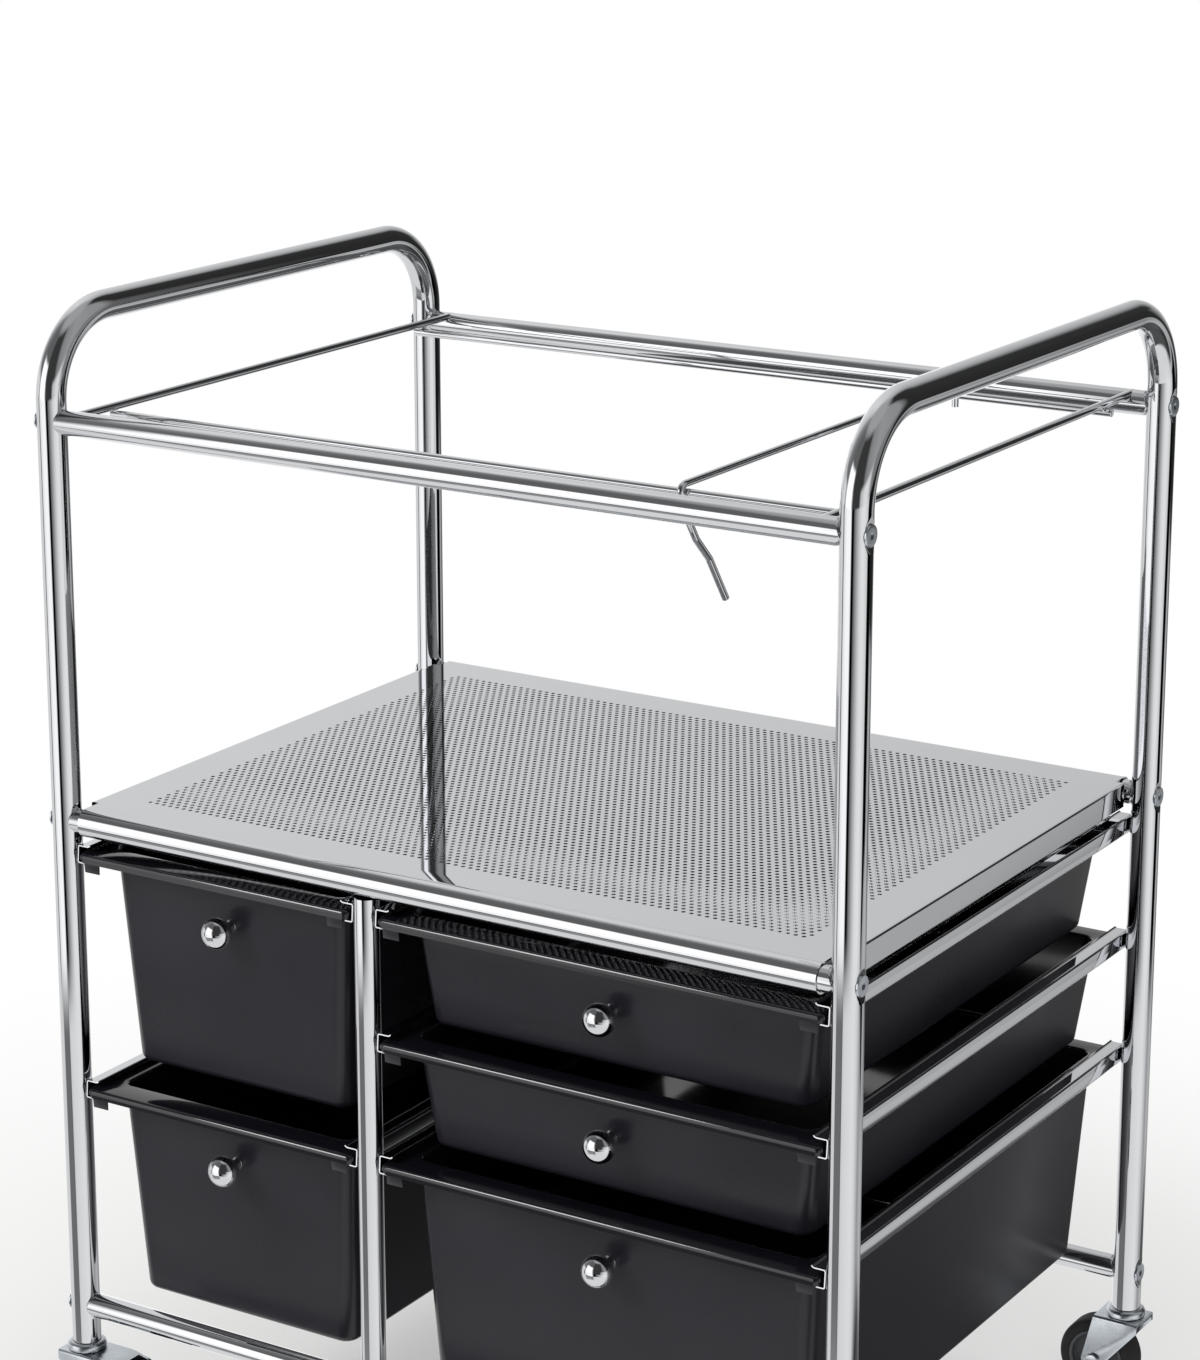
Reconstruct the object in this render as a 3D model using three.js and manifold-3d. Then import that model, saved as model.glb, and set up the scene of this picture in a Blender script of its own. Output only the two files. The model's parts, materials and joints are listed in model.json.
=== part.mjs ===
// Mobile file cart: a chrome tube frame with a hanging-file rack above a pressed shelf, two columns
// of moulded drawers on channel runners below it, and four swivel casters.
// Millimetres, +X to the right along the front, +Y to the rear, +Z up.
// The origin is on the floor under the middle of the cart.
import * as THREE from 'three';
import { mergeVertices } from 'three/addons/utils/BufferGeometryUtils.js';
import Module from 'manifold-3d';

// Gap left between pieces that rest on each other, and between pieces that slide
const SEAT = 0.3;

// Tube frame
const POST_SPAN_X = 528;
const POST_SPAN_Y = 383;
const POST_D = 18;
const POST_WALL = 1.2;
const TUBE_D = 15;
const TUBE_WALL = 1.2;
const HANDLE_BEND_R = 50;
const HANDLE_RISE = 61;
const FILE_BAY_H = 242;
const LEG_STUB = 24;
const MID_POST_X = -45.5;

// Hanging-file rack: the wires carry letter folders, the left rod and the bar carry legal folders
const FILE_WIRE_D = 5;
const FILE_WIRE_SPAN = 312;
const FILE_WIRE_END = 4;
const FILE_ROD_INSET = 19.5;
const FILE_ROD_RISE = 5;
const FILE_BAR_D = 4.5;
const FILE_BAR_SPAN = 387;
const FILE_BAR_BEND_R = 5;
const FILE_BAR_KINK_R = 8;
const FILE_BAR_REACH = 6.5;
const FILE_BAR_REAR_HOOK = 14;
// Front tail of the bar: rearward run and drop of each straight, from the bend downwards
const FILE_BAR_TAIL = [[0.5, 8.5], [16.5, 24], [14, 13.5], [18.5, 26.5]];

// Shelf pan
const SHELF_GAUGE = 1;
const SHELF_HEM = 4;
const SHELF_FLANGE_H = 15;
const SHELF_POST_GAP = 0.6;
const SHELF_CORNER_X = 15;
const SHELF_CORNER_Y = 2.5;
// The perforated field, as a plain grid of openings with the same open share
const SHELF_FIELD_X = 454;
const SHELF_FIELD_Y = 328;
const SHELF_OPENINGS_X = 6;
const SHELF_OPENINGS_Y = 4;
const SHELF_OPENING_SHARE = 0.5;

// Drawer runners
const RUNNER_H = 11;
const RUNNER_GAUGE = 1;
const RUNNER_TOP_LIP = 8;
const RUNNER_LOW_LIP = 7;
const RUNNER_CURL = 1.6;
const RUNNER_OVERHANG = 3;
const RUNNER_DROP = 20;

// Drawers
const UNIT_PITCH = 75;
const UNIT_GAP = 7.5;
const BASE_GAP = 3;
const DRAWER_WALL = 2;
const RIM_H = 5.7;
const RIM_SIDE_GAP = 1.2;
const RIM_EDGE = 0.6;
const RIM_CORNER_R = 4;
const RIM_SIDE = 12;
const RIM_FRONT = 17;
const RIM_REAR = 12;
const RIM_REAR_INSET = 4.5;
const BODY_CORNER_R = 10;
const FLOOR_CORNER_R = 8;
const FLOOR_FILLET = 4;
const DRAFT_SIDE = 8;
const DRAFT_FRONT = 7;
const DRAFT_REAR = 8;
const STOP_TAB_W = 11;
const STOP_TAB_T = 2.5;
const STOP_TAB_DROP = 6;

// Knobs
const KNOB_D = 18;
const KNOB_REACH = 13;
const KNOB_DROP = 33;
const KNOB_BASE_D = 12.4;
const KNOB_NECK_D = 7.8;
const KNOB_BASE_T = 0.8;

// Casters
const WHEEL_D = 50;
const TYRE_W = 18;
const TYRE_T = 7;
const TYRE_CROWN = 2;
const HUB_W = 20;
const HUB_WEB_W = 9;
const HUB_BOSS_D = 15;
const AXLE_D = 6;
const AXLE_HEAD_D = 9;
const AXLE_HEAD_T = 1.5;
const TRAIL = 16;
const WHEEL_TOP_GAP = 4;
const FORK_GAP = 0.8;
const FORK_GAUGE = 2;
const FORK_EYE_R = 8;
const FORK_NOSE = 13;
const CUP_D = 24;
const CUP_H = 5.4;
const CUP_EDGE = 1.5;
const STEM_PLUG_H = 28;
const PIVOT_D = 8;
const PIVOT_HEAD_D = 13;
const PIVOT_HEAD_T = 2;

// Brake levers
const LEVER_W = 15;
const LEVER_PIVOT_GAP = 6;
const LEVER_PIVOT_ANGLE = THREE.MathUtils.degToRad(48);
const LEVER_PIN_D = 4;
const LEVER_BOSS_R = 3.6;
const LEVER_NOSE_R = 5.6;
const LEVER_NOSE_LEAD = THREE.MathUtils.degToRad(25);
const LEVER_PEDAL = 24;
const LEVER_PEDAL_T = 3;
const LEVER_PEDAL_RISE = 3;
const LEVER_EYE_R = 5;

// Facets of round shapes
const POST_SIDES = 16;
const TUBE_SIDES = 16;
const WIRE_SIDES = 10;
const CUTTER_SIDES = 24;
const BEND_STEPS = 6;
const KNOB_SIDES = 12;
const KNOB_STEPS = 5;
const WHEEL_SIDES = 24;
const HUB_SIDES = 14;
const PIN_SIDES = 12;
const CORNER_STEPS = 4;

const DRAWERS = [
  { name: 'left_upper', column: 'left', row: 0, units: 2 },
  { name: 'left_lower', column: 'left', row: 2, units: 2 },
  { name: 'right_upper', column: 'right', row: 0, units: 1 },
  { name: 'right_middle', column: 'right', row: 1, units: 1 },
  { name: 'right_lower', column: 'right', row: 2, units: 2 },
];
const LAST_ROW = 2;
const LAST_ROW_UNITS = 2;

// Heights and places that follow from the sizes above
const POST_X = POST_SPAN_X / 2;
const POST_Y = POST_SPAN_Y / 2;
const FORK_TOP_Z = WHEEL_D + WHEEL_TOP_GAP + FORK_GAUGE;
const POST_END_Z = FORK_TOP_Z + SEAT + CUP_H + SEAT;
const BASE_Z = POST_END_Z + LEG_STUB;
const RIM_TOP_OVER_RUNNER = RIM_H + SEAT + RUNNER_GAUGE - RUNNER_H / 2;
const LAST_RIM_Z = BASE_Z + TUBE_D / 2 + BASE_GAP + drawerDepth(LAST_ROW_UNITS);
const SHELF_Z = runnerZ(0) + RUNNER_DROP;
const RACK_Z = SHELF_Z + FILE_BAY_H;
const HANDLE_Z = RACK_Z + HANDLE_RISE;
const ROLL_IN_R = TUBE_D / 2 + SEAT;
const ROLL_OUT_R = ROLL_IN_R + SHELF_GAUGE;
const ROD_X = POST_X - FILE_ROD_INSET;
const WIRE_Y = FILE_WIRE_SPAN / 2;
const WIRE_Z = RACK_Z + FILE_ROD_RISE - FILE_WIRE_D - SEAT;
const BAR_X = FILE_BAR_SPAN - ROD_X;
const BAR_Z = WIRE_Z + FILE_WIRE_D / 2 + SEAT + FILE_BAR_D / 2;
const RUNNER_FRONT_Y = -POST_Y - RUNNER_OVERHANG;
const RIM_FRONT_Y = RUNNER_FRONT_Y - SEAT - STOP_TAB_T;
const RIM_REAR_Y = POST_Y + RIM_REAR_INSET;
const COLUMNS = {
  left: [-POST_X + POST_D / 2 + SEAT, MID_POST_X - TUBE_D / 2 - SEAT],
  right: [MID_POST_X + TUBE_D / 2 + SEAT, POST_X - POST_D / 2 - SEAT],
};

const CHROME = { color: 0xd9dbde, metalness: 1.0, roughness: 0.07 };
const PRESSED_CHROME = { color: 0xd4d6d9, metalness: 1.0, roughness: 0.14 };
const BLACK_PLASTIC = { color: 0x1d1d20, metalness: 0.0, roughness: 0.45 };
const ZINC = { color: 0xb4b8bd, metalness: 1.0, roughness: 0.35 };
const GREY_NYLON = { color: 0x54565a, metalness: 0.0, roughness: 0.5 };
const BLACK_RUBBER = { color: 0x17171a, metalness: 0.0, roughness: 0.8 };

const wasm = await Module();
wasm.setup();

// Outside depth of a drawer that fills the given number of units
function drawerDepth(units) {
  return units * (UNIT_PITCH - UNIT_GAP);
}

// Mid-height of the runners in a row, counted from the top
function runnerZ(row) {
  return LAST_RIM_Z - RIM_TOP_OVER_RUNNER + (LAST_ROW - row) * UNIT_PITCH;
}

function solidOf(geometry) {
  const bare = geometry.clone();
  bare.deleteAttribute('normal');
  bare.deleteAttribute('uv');
  const merged = mergeVertices(bare);
  const vertProperties = new Float32Array(merged.attributes.position.array);
  const triVerts = new Uint32Array(merged.index.array);
  return new wasm.Manifold(new wasm.Mesh({ numProp: 3, vertProperties, triVerts }));
}

function geometryOf(solid) {
  const { vertProperties, triVerts } = solid.getMesh();
  const geometry = new THREE.BufferGeometry();
  geometry.setAttribute('position', new THREE.BufferAttribute(vertProperties, 3));
  geometry.setIndex(new THREE.BufferAttribute(triVerts, 1));
  geometry.computeVertexNormals();
  return geometry;
}

function cut(body, ...tools) {
  return geometryOf(tools.reduce((rest, tool) => rest.subtract(solidOf(tool)), solidOf(body)));
}

function join(body, ...additions) {
  return geometryOf(additions.reduce((sum, addition) => sum.add(solidOf(addition)), solidOf(body)));
}

function common(first, second) {
  return geometryOf(solidOf(first).intersect(solidOf(second)));
}

function mesh(name, geometry, finish) {
  const part = new THREE.Mesh(geometry, new THREE.MeshStandardMaterial(finish));
  part.name = name;
  return part;
}

// Disc or ring outline of a round bar or tube
function roundSection(diameter, wall = 0) {
  const section = new THREE.Shape();
  section.absarc(0, 0, diameter / 2, 0, 2 * Math.PI);
  if (wall > 0) {
    const bore = new THREE.Path();
    bore.absarc(0, 0, diameter / 2 - wall, 0, 2 * Math.PI);
    section.holes.push(bore);
  }
  return section;
}

// Straight extrusion centred on the origin. Along X the outline is drawn in Y and Z, along Y in X and Z
function extrude(outline, length, axis, sides) {
  const geometry = new THREE.ExtrudeGeometry(outline, {
    depth: length,
    bevelEnabled: false,
    curveSegments: sides / 2,
  });
  geometry.translate(0, 0, -length / 2);
  if (axis === 'x') {
    const basis = new THREE.Matrix4();
    basis.makeBasis(new THREE.Vector3(0, 1, 0), new THREE.Vector3(0, 0, 1), new THREE.Vector3(1, 0, 0));
    geometry.applyMatrix4(basis);
  }
  if (axis === 'y') {
    geometry.rotateX(Math.PI / 2);
  }
  return geometry;
}

function rod(diameter, length, axis, sides) {
  return extrude(roundSection(diameter), length, axis, sides);
}

// Solid of revolution about Z from [radius, height] points
function turned(profile, sides, start = 0) {
  const points = profile.map(([radius, height]) => new THREE.Vector2(radius, height));
  const geometry = new THREE.LatheGeometry(points, sides, start);
  geometry.rotateX(Math.PI / 2);
  return geometry;
}

// Centre line of a bent tube: straights joined by round bends, with a ring only where the line turns
class BentRoute extends THREE.Curve {
  constructor(corners, radii) {
    super();
    this.stations = [];
    const last = corners.length - 1;
    const headings = corners.slice(1).map((corner, i) => corner.clone().sub(corners[i]).normalize());
    this.addStation(corners[0], headings[0]);
    for (let i = 1; i < last; i += 1) {
      this.addBend(corners[i], headings[i - 1], headings[i], radii[i - 1]);
    }
    this.addStation(corners[last], headings[last - 1]);
  }

  addStation(point, tangent) {
    this.stations.push({ point: point.clone(), tangent: tangent.clone() });
  }

  addBend(corner, before, after, radius) {
    const turn = before.angleTo(after);
    const start = corner.clone().addScaledVector(before, -radius * Math.tan(turn / 2));
    const inward = after.clone().addScaledVector(before, -Math.cos(turn)).normalize();
    const steps = Math.max(2, Math.round((BEND_STEPS * turn) / (Math.PI / 2)));
    for (let i = 0; i <= steps; i += 1) {
      const angle = (turn * i) / steps;
      const point = start.clone().addScaledVector(before, radius * Math.sin(angle));
      point.addScaledVector(inward, radius * (1 - Math.cos(angle)));
      const tangent = before.clone().multiplyScalar(Math.cos(angle)).addScaledVector(inward, Math.sin(angle));
      this.addStation(point, tangent);
    }
  }

  getSpacedPoints() {
    return this.stations.map(({ point }) => point.clone());
  }

  getTangentAt(u, target = new THREE.Vector3()) {
    const index = Math.round(u * (this.stations.length - 1));
    return target.copy(this.stations[index].tangent);
  }
}

function bentTube(section, corners, radii, sides) {
  const route = new BentRoute(corners, radii);
  return new THREE.ExtrudeGeometry(section, {
    steps: route.stations.length - 1,
    extrudePath: route,
    curveSegments: sides / 2,
  });
}

// Side frame: one tube from post end to post end over the handle
function sideFrame(x) {
  const corners = [
    new THREE.Vector3(x, -POST_Y, POST_END_Z),
    new THREE.Vector3(x, -POST_Y, HANDLE_Z),
    new THREE.Vector3(x, POST_Y, HANDLE_Z),
    new THREE.Vector3(x, POST_Y, POST_END_Z),
  ];
  const section = roundSection(POST_D, POST_WALL);
  return bentTube(section, corners, [HANDLE_BEND_R, HANDLE_BEND_R], POST_SIDES);
}

// Cross tube between a left and a right post, its ends scooped to fit round them
function crossTube() {
  const reach = POST_SPAN_X - POST_D / 2;
  const tube = extrude(roundSection(TUBE_D, TUBE_WALL), reach, 'x', TUBE_SIDES);
  const posts = [-POST_X, POST_X].map((x) => {
    return rod(POST_D + 2 * SEAT, 2 * TUBE_D, 'z', CUTTER_SIDES).translate(x, 0, 0);
  });
  return cut(tube, ...posts);
}

// Mid post from the base tube, which it straddles, up to the rolled edge of the shelf
function midPost() {
  const top = SHELF_Z - ROLL_OUT_R - SEAT;
  const tube = extrude(roundSection(TUBE_D, TUBE_WALL), top - BASE_Z, 'z', TUBE_SIDES);
  tube.translate(0, 0, (top + BASE_Z) / 2);
  const base = rod(TUBE_D + 2 * SEAT, 2 * TUBE_D, 'x', CUTTER_SIDES).translate(0, 0, BASE_Z);
  return cut(tube, base);
}

// File rod along Y, butted against the inner sides of the two rack tubes
function fileRod() {
  const bar = rod(FILE_WIRE_D, POST_SPAN_Y, 'y', WIRE_SIDES).translate(0, 0, FILE_ROD_RISE);
  const tubes = [-POST_Y, POST_Y].map((y) => {
    return rod(TUBE_D + 2 * SEAT, 2 * FILE_WIRE_D, 'x', CUTTER_SIDES).translate(0, y, 0);
  });
  return cut(bar, ...tubes);
}

// Sliding file bar: hooks over both wires, with a kinked tail at the front to slide it by
function fileBar() {
  const end = WIRE_Y + FILE_BAR_REACH;
  const corners = [
    new THREE.Vector3(0, end, BAR_Z - FILE_BAR_REAR_HOOK),
    new THREE.Vector3(0, end, BAR_Z),
    new THREE.Vector3(0, -end, BAR_Z),
  ];
  for (const [run, drop] of FILE_BAR_TAIL) {
    const previous = corners[corners.length - 1];
    corners.push(new THREE.Vector3(0, previous.y + run, previous.z - drop));
  }
  const kinks = FILE_BAR_TAIL.slice(1).map(() => FILE_BAR_KINK_R);
  const radii = [FILE_BAR_BEND_R, FILE_BAR_BEND_R, ...kinks];
  return bentTube(roundSection(FILE_BAR_D), corners, radii, WIRE_SIDES);
}

// Cutters for the openings in the shelf's deck
function shelfOpenings() {
  const pitchX = SHELF_FIELD_X / SHELF_OPENINGS_X;
  const pitchY = SHELF_FIELD_Y / SHELF_OPENINGS_Y;
  const cutters = [];
  for (let column = 0; column < SHELF_OPENINGS_X; column += 1) {
    for (let row = 0; row < SHELF_OPENINGS_Y; row += 1) {
      const width = pitchX * SHELF_OPENING_SHARE;
      const depth = pitchY * SHELF_OPENING_SHARE;
      const cutter = new THREE.BoxGeometry(width, depth, 4 * SHELF_GAUGE);
      const x = (column + 0.5) * pitchX - SHELF_FIELD_X / 2;
      const y = (row + 0.5) * pitchY - SHELF_FIELD_Y / 2;
      cutters.push(cutter.translate(x, y, ROLL_OUT_R - SHELF_GAUGE / 2));
    }
  }
  return cutters;
}

// Shelf pan: deck, edges rolled round the shelf tubes, corners cleared for the posts, sides folded down
function shelfPan() {
  const half = POST_X - POST_D / 2 - SHELF_POST_GAP;
  const outline = new THREE.Shape();
  outline.moveTo(POST_Y, ROLL_OUT_R);
  outline.lineTo(-POST_Y, ROLL_OUT_R);
  outline.absarc(-POST_Y, 0, ROLL_OUT_R, Math.PI / 2, 1.5 * Math.PI, false);
  outline.lineTo(-POST_Y + SHELF_HEM, -ROLL_OUT_R);
  outline.lineTo(-POST_Y + SHELF_HEM, -ROLL_IN_R);
  outline.lineTo(-POST_Y, -ROLL_IN_R);
  outline.absarc(-POST_Y, 0, ROLL_IN_R, 1.5 * Math.PI, Math.PI / 2, true);
  outline.lineTo(POST_Y, ROLL_IN_R);
  outline.absarc(POST_Y, 0, ROLL_IN_R, Math.PI / 2, -Math.PI / 2, true);
  outline.lineTo(POST_Y - SHELF_HEM, -ROLL_IN_R);
  outline.lineTo(POST_Y - SHELF_HEM, -ROLL_OUT_R);
  outline.lineTo(POST_Y, -ROLL_OUT_R);
  outline.absarc(POST_Y, 0, ROLL_OUT_R, -Math.PI / 2, Math.PI / 2, false);
  const pan = extrude(outline, 2 * half, 'x', TUBE_SIDES);
  const cornerX = POST_X - SHELF_CORNER_X;
  const cornerY = POST_Y - POST_D / 2 - SHELF_CORNER_Y;
  const corners = [];
  const flanges = [];
  for (const side of [-1, 1]) {
    for (const end of [-1, 1]) {
      const corner = new THREE.BoxGeometry(POST_D, POST_D + TUBE_D, 2 * TUBE_D);
      corner.translate(side * (cornerX + POST_D / 2), end * (cornerY + (POST_D + TUBE_D) / 2), 0);
      corners.push(corner);
    }
    const flange = new THREE.BoxGeometry(SHELF_GAUGE, 2 * cornerY, SHELF_FLANGE_H);
    flange.translate(side * (half - SHELF_GAUGE / 2), 0, ROLL_OUT_R - SHELF_FLANGE_H / 2);
    flanges.push(flange);
  }
  return join(cut(pan, ...corners, ...shelfOpenings()), ...flanges);
}

// Channel runner that opens towards +X from its web, with the tip of its upper lip curled up
function runner() {
  const half = RUNNER_H / 2;
  const gauge = RUNNER_GAUGE;
  const slant = gauge * Math.SQRT1_2;
  const outline = new THREE.Shape();
  outline.moveTo(0, -half);
  outline.lineTo(RUNNER_LOW_LIP, -half);
  outline.lineTo(RUNNER_LOW_LIP, -half + gauge);
  outline.lineTo(gauge, -half + gauge);
  outline.lineTo(gauge, half - gauge);
  outline.lineTo(RUNNER_TOP_LIP, half - gauge);
  outline.lineTo(RUNNER_TOP_LIP + RUNNER_CURL, half - gauge + RUNNER_CURL);
  outline.lineTo(RUNNER_TOP_LIP + RUNNER_CURL - slant, half - gauge + RUNNER_CURL + slant);
  outline.lineTo(RUNNER_TOP_LIP - gauge * Math.tan(Math.PI / 8), half);
  outline.lineTo(0, half);
  return extrude(outline, POST_SPAN_Y + 2 * RUNNER_OVERHANG, 'y', 2);
}

function insetBox(box, side, front = side, rear = side) {
  return { x0: box.x0 + side, x1: box.x1 - side, y0: box.y0 + front, y1: box.y1 - rear };
}

// Rectangle with round corners at one height, anticlockwise from above
function roundedLoop(box, radius, z) {
  const centres = [
    [box.x1 - radius, box.y1 - radius],
    [box.x0 + radius, box.y1 - radius],
    [box.x0 + radius, box.y0 + radius],
    [box.x1 - radius, box.y0 + radius],
  ];
  return centres.flatMap(([x, y], quarter) => {
    return Array.from({ length: CORNER_STEPS + 1 }, (_, i) => {
      const angle = (Math.PI / 2) * (quarter + i / CORNER_STEPS);
      return new THREE.Vector3(x + radius * Math.cos(angle), y + radius * Math.sin(angle), z);
    });
  });
}

// Closed skin through a row of loops, from the cap on the first to the cap on the last
function loft(loops) {
  const count = loops[0].length;
  const faces = [];
  for (let i = 1; i < count - 1; i += 1) {
    faces.push(0, i + 1, i);
  }
  for (let k = 0; k < loops.length - 1; k += 1) {
    for (let i = 0; i < count; i += 1) {
      const a = k * count + i;
      const b = k * count + ((i + 1) % count);
      faces.push(a, b, b + count, a, b + count, a + count);
    }
  }
  const top = (loops.length - 1) * count;
  for (let i = 1; i < count - 1; i += 1) {
    faces.push(top, top + i, top + i + 1);
  }
  const geometry = new THREE.BufferGeometry().setFromPoints(loops.flat());
  geometry.setIndex(faces);
  return geometry;
}

// Outside of a drawer's rim in plan
function rimBox(column) {
  const gap = RUNNER_GAUGE + RIM_SIDE_GAP;
  const [x0, x1] = COLUMNS[column];
  return { x0: x0 + gap, x1: x1 - gap, y0: RIM_FRONT_Y, y1: RIM_REAR_Y };
}

// Moulded drawer: drafted tub with a turned-down rim that rides in the runners
function drawerTub(column, units) {
  const rim = rimBox(column);
  const top = insetBox(rim, RIM_SIDE, RIM_FRONT, RIM_REAR);
  const foot = insetBox(top, DRAFT_SIDE, DRAFT_FRONT, DRAFT_REAR);
  const wall = DRAWER_WALL;
  const floor = -drawerDepth(units);
  const soft = FLOOR_FILLET * (1 - Math.SQRT1_2);
  const tub = loft([
    roundedLoop(insetBox(foot, FLOOR_FILLET), FLOOR_CORNER_R - FLOOR_FILLET, floor),
    roundedLoop(insetBox(foot, soft), FLOOR_CORNER_R - soft, floor + soft),
    roundedLoop(foot, FLOOR_CORNER_R, floor + FLOOR_FILLET),
    roundedLoop(top, BODY_CORNER_R, -wall),
    roundedLoop(insetBox(rim, wall), RIM_CORNER_R - wall, -wall),
    roundedLoop(insetBox(rim, wall), RIM_CORNER_R - wall, -RIM_H),
    roundedLoop(rim, RIM_CORNER_R, -RIM_H),
    roundedLoop(rim, RIM_CORNER_R, -RIM_EDGE),
    roundedLoop(insetBox(rim, RIM_EDGE), RIM_CORNER_R - RIM_EDGE, 0),
    roundedLoop(insetBox(top, wall), BODY_CORNER_R - wall, 0),
    roundedLoop(insetBox(foot, wall), FLOOR_CORNER_R - wall, floor + wall + FLOOR_FILLET),
    roundedLoop(insetBox(foot, wall + FLOOR_FILLET / 2), FLOOR_CORNER_R - wall - FLOOR_FILLET / 2, floor + wall),
  ]);
  const tabs = [rim.x0 + RIM_CORNER_R, rim.x1 - RIM_CORNER_R - STOP_TAB_W].map((x) => {
    const tab = new THREE.BoxGeometry(STOP_TAB_W, STOP_TAB_T, STOP_TAB_DROP + wall);
    return tab.translate(x + STOP_TAB_W / 2, rim.y0 + STOP_TAB_T / 2, wall / 2 - RIM_H - STOP_TAB_DROP / 2);
  });
  return join(tub, ...tabs);
}

// Ball knob standing up from its base
function knob() {
  const ball = KNOB_D / 2;
  const neck = KNOB_NECK_D / 2;
  const start = -Math.acos(neck / ball);
  const profile = [[0, 0], [KNOB_BASE_D / 2, 0], [KNOB_BASE_D / 2, KNOB_BASE_T]];
  profile.push([(KNOB_BASE_D / 2 + neck) / 2 - KNOB_BASE_T / 2, KNOB_REACH / 6]);
  for (let i = 0; i < KNOB_STEPS; i += 1) {
    const angle = start + ((Math.PI / 2 - start) * i) / KNOB_STEPS;
    profile.push([ball * Math.cos(angle), KNOB_REACH + ball * Math.sin(angle)]);
  }
  profile.push([0, KNOB_REACH + ball]);
  return turned(profile, KNOB_SIDES);
}

// Caster stem: plug inside the post, bearing cup under its end, and the pivot the fork turns on
function casterStem() {
  const plug = POST_D / 2 - POST_WALL - SEAT;
  const cup = CUP_D / 2;
  const pivotTop = FORK_TOP_Z + SEAT;
  const headTop = FORK_TOP_Z - FORK_GAUGE - SEAT;
  return turned([
    [0, headTop - PIVOT_HEAD_T],
    [PIVOT_HEAD_D / 2, headTop - PIVOT_HEAD_T],
    [PIVOT_HEAD_D / 2, headTop],
    [PIVOT_D / 2, headTop],
    [PIVOT_D / 2, pivotTop],
    [cup, pivotTop],
    [cup, pivotTop + CUP_H - CUP_EDGE],
    [cup - CUP_EDGE, pivotTop + CUP_H],
    [plug, pivotTop + CUP_H],
    [plug, POST_END_Z + STEM_PLUG_H],
    [0, POST_END_Z + STEM_PLUG_H],
  ], PIN_SIDES);
}

function leverPivot() {
  const reach = WHEEL_D / 2 + LEVER_PIVOT_GAP;
  return new THREE.Vector2(
    TRAIL + reach * Math.cos(LEVER_PIVOT_ANGLE),
    WHEEL_D / 2 + reach * Math.sin(LEVER_PIVOT_ANGLE),
  );
}

// Pressed fork over a wheel that trails towards +X: a channel section trimmed to its side outline
function casterFork(braked) {
  const inner = HUB_W / 2 + FORK_GAP;
  const outer = inner + FORK_GAUGE;
  const axleZ = WHEEL_D / 2;
  const top = FORK_TOP_Z;
  const skirt = axleZ - FORK_EYE_R - FORK_GAUGE;
  const channel = new THREE.Shape();
  channel.moveTo(-outer, skirt);
  channel.lineTo(-inner, skirt);
  channel.lineTo(-inner, top - FORK_GAUGE);
  channel.lineTo(inner, top - FORK_GAUGE);
  channel.lineTo(inner, skirt);
  channel.lineTo(outer, skirt);
  channel.lineTo(outer, top - FORK_GAUGE);
  channel.absarc(inner, top - FORK_GAUGE, FORK_GAUGE, 0, Math.PI / 2, false);
  channel.absarc(-inner, top - FORK_GAUGE, FORK_GAUGE, Math.PI / 2, Math.PI, false);
  const eye = leverPivot();
  const side = new THREE.Shape();
  side.moveTo(-FORK_NOSE, top + FORK_GAUGE);
  side.lineTo(TRAIL, top + FORK_GAUGE);
  if (braked) {
    side.lineTo(eye.x - LEVER_EYE_R, top - FORK_GAUGE);
    side.absarc(eye.x, eye.y, LEVER_EYE_R, Math.PI / 2, -Math.PI / 4, true);
  }
  side.absarc(TRAIL, axleZ, FORK_EYE_R, 0, -Math.PI, true);
  side.lineTo(-FORK_NOSE, top - WHEEL_TOP_GAP - FORK_GAUGE);
  const length = 4 * WHEEL_D;
  const trimmed = common(extrude(channel, length, 'x', 8), extrude(side, length, 'y', 8));
  const holes = [
    rod(PIVOT_D + 2 * SEAT, length, 'z', PIN_SIDES).translate(0, 0, length / 2 + axleZ),
    rod(AXLE_D + SEAT, length, 'y', PIN_SIDES).translate(TRAIL, 0, axleZ),
  ];
  if (braked) {
    holes.push(rod(LEVER_PIN_D + 2 * SEAT, length, 'y', PIN_SIDES).translate(eye.x, 0, eye.y));
  }
  return cut(trimmed, ...holes);
}

// Axle with a head outside each cheek of the fork
function casterAxle() {
  const cheek = HUB_W / 2 + FORK_GAP + FORK_GAUGE + SEAT;
  const end = cheek + AXLE_HEAD_T;
  const axle = turned([
    [0, -end],
    [AXLE_HEAD_D / 2, -end],
    [AXLE_HEAD_D / 2, -cheek],
    [AXLE_D / 2, -cheek],
    [AXLE_D / 2, cheek],
    [AXLE_HEAD_D / 2, cheek],
    [AXLE_HEAD_D / 2, end],
    [0, end],
  ], PIN_SIDES);
  return axle.rotateX(Math.PI / 2);
}

// Flat facets face down, so that the wheel stands on one
const WHEEL_TURN = Math.PI / WHEEL_SIDES;

function tyreSeatRadius() {
  return WHEEL_D / 2 - TYRE_T;
}

// Tyre ring with a slight crown, its flats at the wheel's rolling radius
function tyre() {
  const rolling = WHEEL_D / 2 / Math.cos(WHEEL_TURN);
  const bore = tyreSeatRadius() + SEAT;
  const half = TYRE_W / 2;
  const ring = turned([
    [bore, -half],
    [rolling - TYRE_CROWN, -half],
    [rolling, -half + TYRE_CROWN],
    [rolling, half - TYRE_CROWN],
    [rolling - TYRE_CROWN, half],
    [bore, half],
    [bore, -half],
  ], WHEEL_SIDES, WHEEL_TURN);
  return ring.rotateX(Math.PI / 2);
}

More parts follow.
